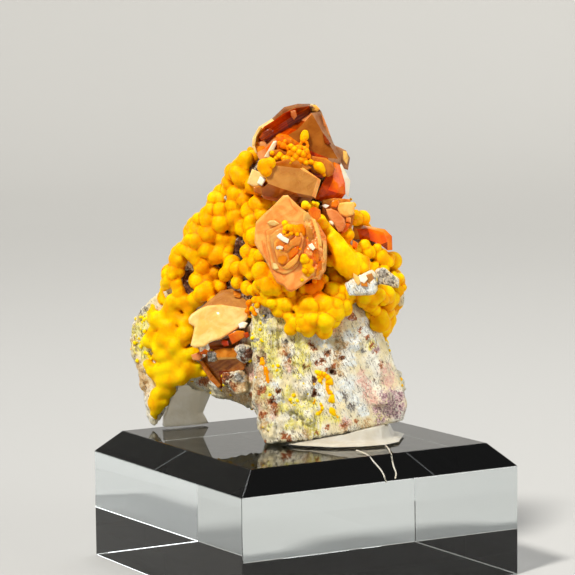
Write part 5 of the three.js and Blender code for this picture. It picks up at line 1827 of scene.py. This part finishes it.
def make_glue(sizes):
    for name, node in (("glue_pad", "glue_front"), ("glue_column", "glue_rear")):
        piece = piece_of(merged_copy(node), name)
        modified(piece, "REMESH", mode="VOXEL", voxel_size=GLUE_GRAIN * MM)
        modified(piece, "SMOOTH", factor=0.5, iterations=6)
        piece.data.shade_smooth()
        mount(covered(piece, "milky_glue"), "clear_glue", node)
    for count, points in enumerate(STRINGS, 1):
        name = f"glue_string_{count}"
        path = smooth_path(points)
        mesh = bpy.data.meshes.new(name)
        mesh.from_pydata([p * MM for p in path], [(i, i + 1) for i in range(len(path) - 1)], [])
        piece = new_piece(name, mesh)
        values = {"Thickness": sizes.string_thickness, "Finish": finish_of("milky_glue")}
        run_tree(piece, glue_string(), values)
        piece.data.shade_smooth()
        mount(covered(piece, "milky_glue"), "clear_glue")


def make_block(sizes):
    copy = merged_copy("display_block")
    bmesh.ops.dissolve_limit(copy, angle_limit=math.radians(1), verts=copy.verts, edges=copy.edges)
    block = covered(piece_of(copy, "acrylic_block"), "polished_acrylic")
    modified(block, "BEVEL", width=sizes.block_edge, segments=2, limit_method="ANGLE")
    mount(block, "clear_acrylic", "display_block")


# ---------- stage ----------

FLOOR_REACH = 0.9  # metres from the middle to where the floor starts to curve up
FLOOR_BEND = 0.6  # radius of that curve
FLOOR_WALL = 1.4  # height of the wall past it
FLOOR_SIDES = 96
KEY_POWER = 3.7
FILL_POWER = 0.8
TOP_POWER = 1.0
SKY_TONE = (0.87, 0.87, 0.87, 1)
SKY_POWER = 0.2


def area_light(name, place, aim, side, power):
    """Light from a square panel that faces a place."""
    light = bpy.data.lights.new(name, "AREA")
    light.size = side
    light.energy = power
    lamp = new_piece(name, light)
    lamp.location = place
    lamp.rotation_euler = (Vector(aim) - Vector(place)).to_track_quat("-Z", "Y").to_euler()


def sun_light(name, toward, power, spread):
    """Light from one side that is the same everywhere; spread is the angle its source takes up."""
    light = bpy.data.lights.new(name, "SUN")
    light.energy = power
    light.angle = spread
    light.color = (1.0, 0.97, 0.92)
    lamp = new_piece(name, light)
    lamp.rotation_euler = Vector(toward).to_track_quat("Z", "Y").to_euler()


def floor_mesh():
    """A round floor that curves up into a low wall all about, so that no edge of it shows."""
    rings = [(0.25, 0.0), (FLOOR_REACH, 0.0)]
    for step in range(1, 13):
        angle = math.pi / 2 * step / 12
        rings.append((FLOOR_REACH + FLOOR_BEND * math.sin(angle), FLOOR_BEND * (1 - math.cos(angle))))
    rings.append((FLOOR_REACH + FLOOR_BEND, FLOOR_WALL))
    form = bmesh.new()
    heart = form.verts.new((0, 0, 0))
    rows = []
    for radius, height in rings:
        angles = [math.tau * k / FLOOR_SIDES for k in range(FLOOR_SIDES)]
        rows.append([form.verts.new((radius * math.cos(t), radius * math.sin(t), height)) for t in angles])
    for k in range(FLOOR_SIDES):
        after = (k + 1) % FLOOR_SIDES
        form.faces.new((heart, rows[0][k], rows[0][after]))
        for inner, outer in zip(rows, rows[1:]):
            form.faces.new((inner[k], outer[k], outer[after], inner[after]))
    mesh = bpy.data.meshes.new("stage_floor")
    form.to_mesh(mesh)
    form.free()
    mesh.shade_smooth()
    return mesh


def make_camera():
    camera = bpy.data.cameras.new("camera")
    camera.sensor_width = SENSOR
    camera.lens = SENSOR * FOCAL / PICTURE
    camera.clip_start, camera.clip_end = 0.01, 20
    camera.dof.use_dof = False
    eye = new_piece("camera", camera)
    turn = Matrix((RIGHTWARDS, UPWARDS, BACKWARDS)).transposed().to_4x4()
    eye.matrix_world = Matrix.Translation(CAMERA_PLACE) @ turn
    bpy.context.scene.camera = eye


def make_stage():
    floor = new_piece("stage_floor", floor_mesh())
    floor.data.materials.append(floor_finish())
    floor.visible_shadow = False
    aim = SPECIMEN @ Vector((0, 0, 25))
    left, front, up = -RIGHTWARDS, BACKWARDS, Vector((0, 0, 1))
    sun_light("key_light", left * 0.5 + front * 0.62 + up * 0.85, KEY_POWER, math.radians(9))
    area_light("fill_light", aim - left * 0.38 + front * 0.22 + up * 0.1, aim, 0.26, FILL_POWER)
    area_light("top_light", aim + up * 0.45 - front * 0.1, aim, 0.3, TOP_POWER)
    world = bpy.data.worlds.new("studio")
    world.use_nodes = True
    sky = world.node_tree.nodes["Background"].inputs
    sky["Color"].default_value = SKY_TONE
    sky["Strength"].default_value = SKY_POWER
    scene = bpy.context.scene
    scene.world = world
    scene.view_settings.view_transform = "Standard"
    scene.view_settings.look = "None"
    make_camera()


# ---------- settings, operators and panel ----------


def length(label, description, size):
    """A length property whose default is given in millimetres."""
    return FloatProperty(name=label, description=description, default=size * MM, unit="LENGTH")


def colour(label, description, code):
    """A colour property from its usual hexadecimal code."""
    look = {"size": 4, "min": 0, "max": 1, "subtype": "COLOR"}
    return FloatVectorProperty(name=label, description=description, default=rgb(code), **look)


class SpecimenSizes(bpy.types.PropertyGroup):
    """Sizes of the specimen's finer parts."""

    ball_spacing: length("Ball spacing", "Least distance between the crust's scattered balls", 1.75)
    ball_low: length("Smallest ball", "Radius of the smallest scattered balls", 1.0)
    ball_high: length("Largest ball", "Radius of the largest scattered balls", 1.65)
    grain_low: length("Smallest grain", "Radius of the foot's smallest grains", 0.14)
    grain_high: length("Largest grain", "Radius of the foot's largest grains", 0.4)
    string_thickness: length("Glue string", "Thickness of the strings of glue", 0.25)
    block_edge: length("Block edge", "Width of the block's softened edges", 0.14)


class SpecimenColours(bpy.types.PropertyGroup):
    """Colours of the specimen's finishes."""

    ball_yellow: colour("Ball yellow", "Mimetite's main yellow", "FFCE00")
    ball_golden: colour("Ball golden", "Clouds in mimetite's yellow", "F9AC00")
    ball_orange: colour("Ball orange", "Mimetite beside the crystals", "F77E00")
    ball_lemon: colour("Ball lemon", "Mimetite low on the left", "FFDC10")
    # painted shade for the creases and clefts between the balls and for their recesses
    ball_crease: colour("Ball crease", "Where two balls meet", "F2A400")
    ball_cleft: colour("Ball cleft", "Deepest line between balls", "AE5400")
    rock_cream: colour("Rock cream", "The rock's warm part", "EFE0B4")
    rock_white: colour("Rock white", "The rock's cool part", "F5F2E2")
    rock_shade: colour("Rock shade", "Streaks and grains in the rock", "BCA874")
    rock_line: colour("Rock line", "Thin lines and strokes in the rock", "584030")
    # its dark brown also paints the shade in the holes
    rock_dark: colour("Rock dark", "Specks and pits", "3A2214")
    # veins, and the painted shade at the feet of the crystals' plates
    vein: colour("Vein", "Veins and shaded feet of the crystals' plates", "E64E00")
    glue_haze: colour("Glue haze", "What the glue lets through", "F0E6D0")
    acrylic: colour("Acrylic", "Clear block", "F7FAFA")
    acrylic_depth: colour("Acrylic depth", "What the block's depth lets through", "DCE4E6")


# Colours that come as a light and a deep one: what they are on, and both codes.
PAIRED_COLOURS = {
    "white": ("the smooth bare rock", "FBFCF6", "E4EAE4"),
    "ochre": ("the ochre stains", "EAD2A4", "C89C66"),
    "blush": ("the pink stains", "F4D6C2", "DCA08E"),
    "moss": ("the yellow film", "F8F2B0", "E8D84C"),
    "mauve": ("the mauve corner", "EAC8C4", "6A3452"),
    "grey": ("the grey patches", "D4D0C4", "57524A"),
    # brown rock, with a near-black deep tone that paints the shade in the pockets
    "brown": ("the brown pockets", "8A5A40", "2E0E04"),
    "rust": ("the rust", "CE8650", "863610"),
    "glue": ("the glue", "FFFBEE", "F4EBD6"),
    "floor": ("the floor", "B9B9B7", "B4B4B2"),
}


def add_pairs(kinds):
    """Adds a light and a deep colour to the specimen's colours for each kind."""
    for kind, (where, *codes) in kinds.items():
        for shade, code in zip(("light", "deep"), codes):
            label = f"{kind} {shade}".capitalize()
            about = f"{shade} part of {where}".capitalize()
            SpecimenColours.__annotations__[f"{kind}_{shade}"] = colour(label, about, code)


add_pairs(PAIRED_COLOURS)
add_pairs({tone: (f"the {tone} crystal", *row[:2]) for tone, row in CRYSTAL_TONES.items()})


class SPECIMEN_OT_rock(bpy.types.Operator):
    """Makes the host rock with its stains and holes"""

    bl_idname = "specimen.rock"
    bl_label = "Host rock"

    def execute(self, context):
        make_rock()
        return {"FINISHED"}


class SPECIMEN_OT_crust(bpy.types.Operator):
    """Makes the crust of yellow balls"""

    bl_idname = "specimen.crust"
    bl_label = "Ball crust"

    def execute(self, context):
        make_crust(context.scene.specimen_sizes)
        return {"FINISHED"}


class SPECIMEN_OT_crown_balls(bpy.types.Operator):
    """Makes the small balls that sit on the crown"""

    bl_idname = "specimen.crown_balls"
    bl_label = "Crown balls"

    def execute(self, context):
        make_crown_balls()
        return {"FINISHED"}


class SPECIMEN_OT_rose_balls(bpy.types.Operator):
    """Makes the mimetite that has grown over the rose"""

    bl_idname = "specimen.rose_balls"
    bl_label = "Rose balls"

    def execute(self, context):
        make_rose_balls()
        return {"FINISHED"}


class SPECIMEN_OT_grains(bpy.types.Operator):
    """Strews the small grains over the rock's foot"""

    bl_idname = "specimen.grains"
    bl_label = "Grains"

    def execute(self, context):
        make_grains(context.scene.specimen_sizes)
        return {"FINISHED"}


class SPECIMEN_OT_crystals(bpy.types.Operator):
    """Makes the orange crystals"""

    bl_idname = "specimen.crystals"
    bl_label = "Crystals"

    def execute(self, context):
        make_crystals()
        return {"FINISHED"}


class SPECIMEN_OT_glue(bpy.types.Operator):
    """Makes the glue under the specimen and its strings"""

    bl_idname = "specimen.glue"
    bl_label = "Glue"

    def execute(self, context):
        make_glue(context.scene.specimen_sizes)
        return {"FINISHED"}


class SPECIMEN_OT_block(bpy.types.Operator):
    """Makes the clear block"""

    bl_idname = "specimen.block"
    bl_label = "Clear block"

    def execute(self, context):
        make_block(context.scene.specimen_sizes)
        return {"FINISHED"}


class SPECIMEN_OT_stage(bpy.types.Operator):
    """Makes the floor, the lights and the camera"""

    bl_idname = "specimen.stage"
    bl_label = "Stage"

    def execute(self, context):
        make_stage()
        return {"FINISHED"}


OPERATORS = (
    SPECIMEN_OT_rock,
    SPECIMEN_OT_crust,
    SPECIMEN_OT_crown_balls,
    SPECIMEN_OT_rose_balls,
    SPECIMEN_OT_grains,
    SPECIMEN_OT_crystals,
    SPECIMEN_OT_glue,
    SPECIMEN_OT_block,
    SPECIMEN_OT_stage,
)


class SPECIMEN_PT_panel(bpy.types.Panel):
    """Lists the specimen's sizes and colours, and the buttons that make its pieces"""

    bl_label = "Specimen"
    bl_space_type = "VIEW_3D"
    bl_region_type = "UI"
    bl_category = "Specimen"

    def draw(self, context):
        for operator in OPERATORS:
            self.layout.operator(operator.bl_idname)
        for settings in (context.scene.specimen_sizes, context.scene.specimen_colours):
            for name in type(settings).__annotations__:
                self.layout.prop(settings, name)


def register():
    for kind in (SpecimenSizes, SpecimenColours, *OPERATORS, SPECIMEN_PT_panel):
        bpy.utils.register_class(kind)
    bpy.types.Scene.specimen_sizes = PointerProperty(type=SpecimenSizes)
    bpy.types.Scene.specimen_colours = PointerProperty(type=SpecimenColours)


def unregister():
    del bpy.types.Scene.specimen_colours
    del bpy.types.Scene.specimen_sizes
    for kind in (SPECIMEN_PT_panel, *reversed(OPERATORS), SpecimenColours, SpecimenSizes):
        bpy.utils.unregister_class(kind)


def main():
    register()
    for operator in OPERATORS:
        group, name = operator.bl_idname.split(".")
        getattr(getattr(bpy.ops, group), name)()
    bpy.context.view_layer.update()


if __name__ == "__main__":
    main()
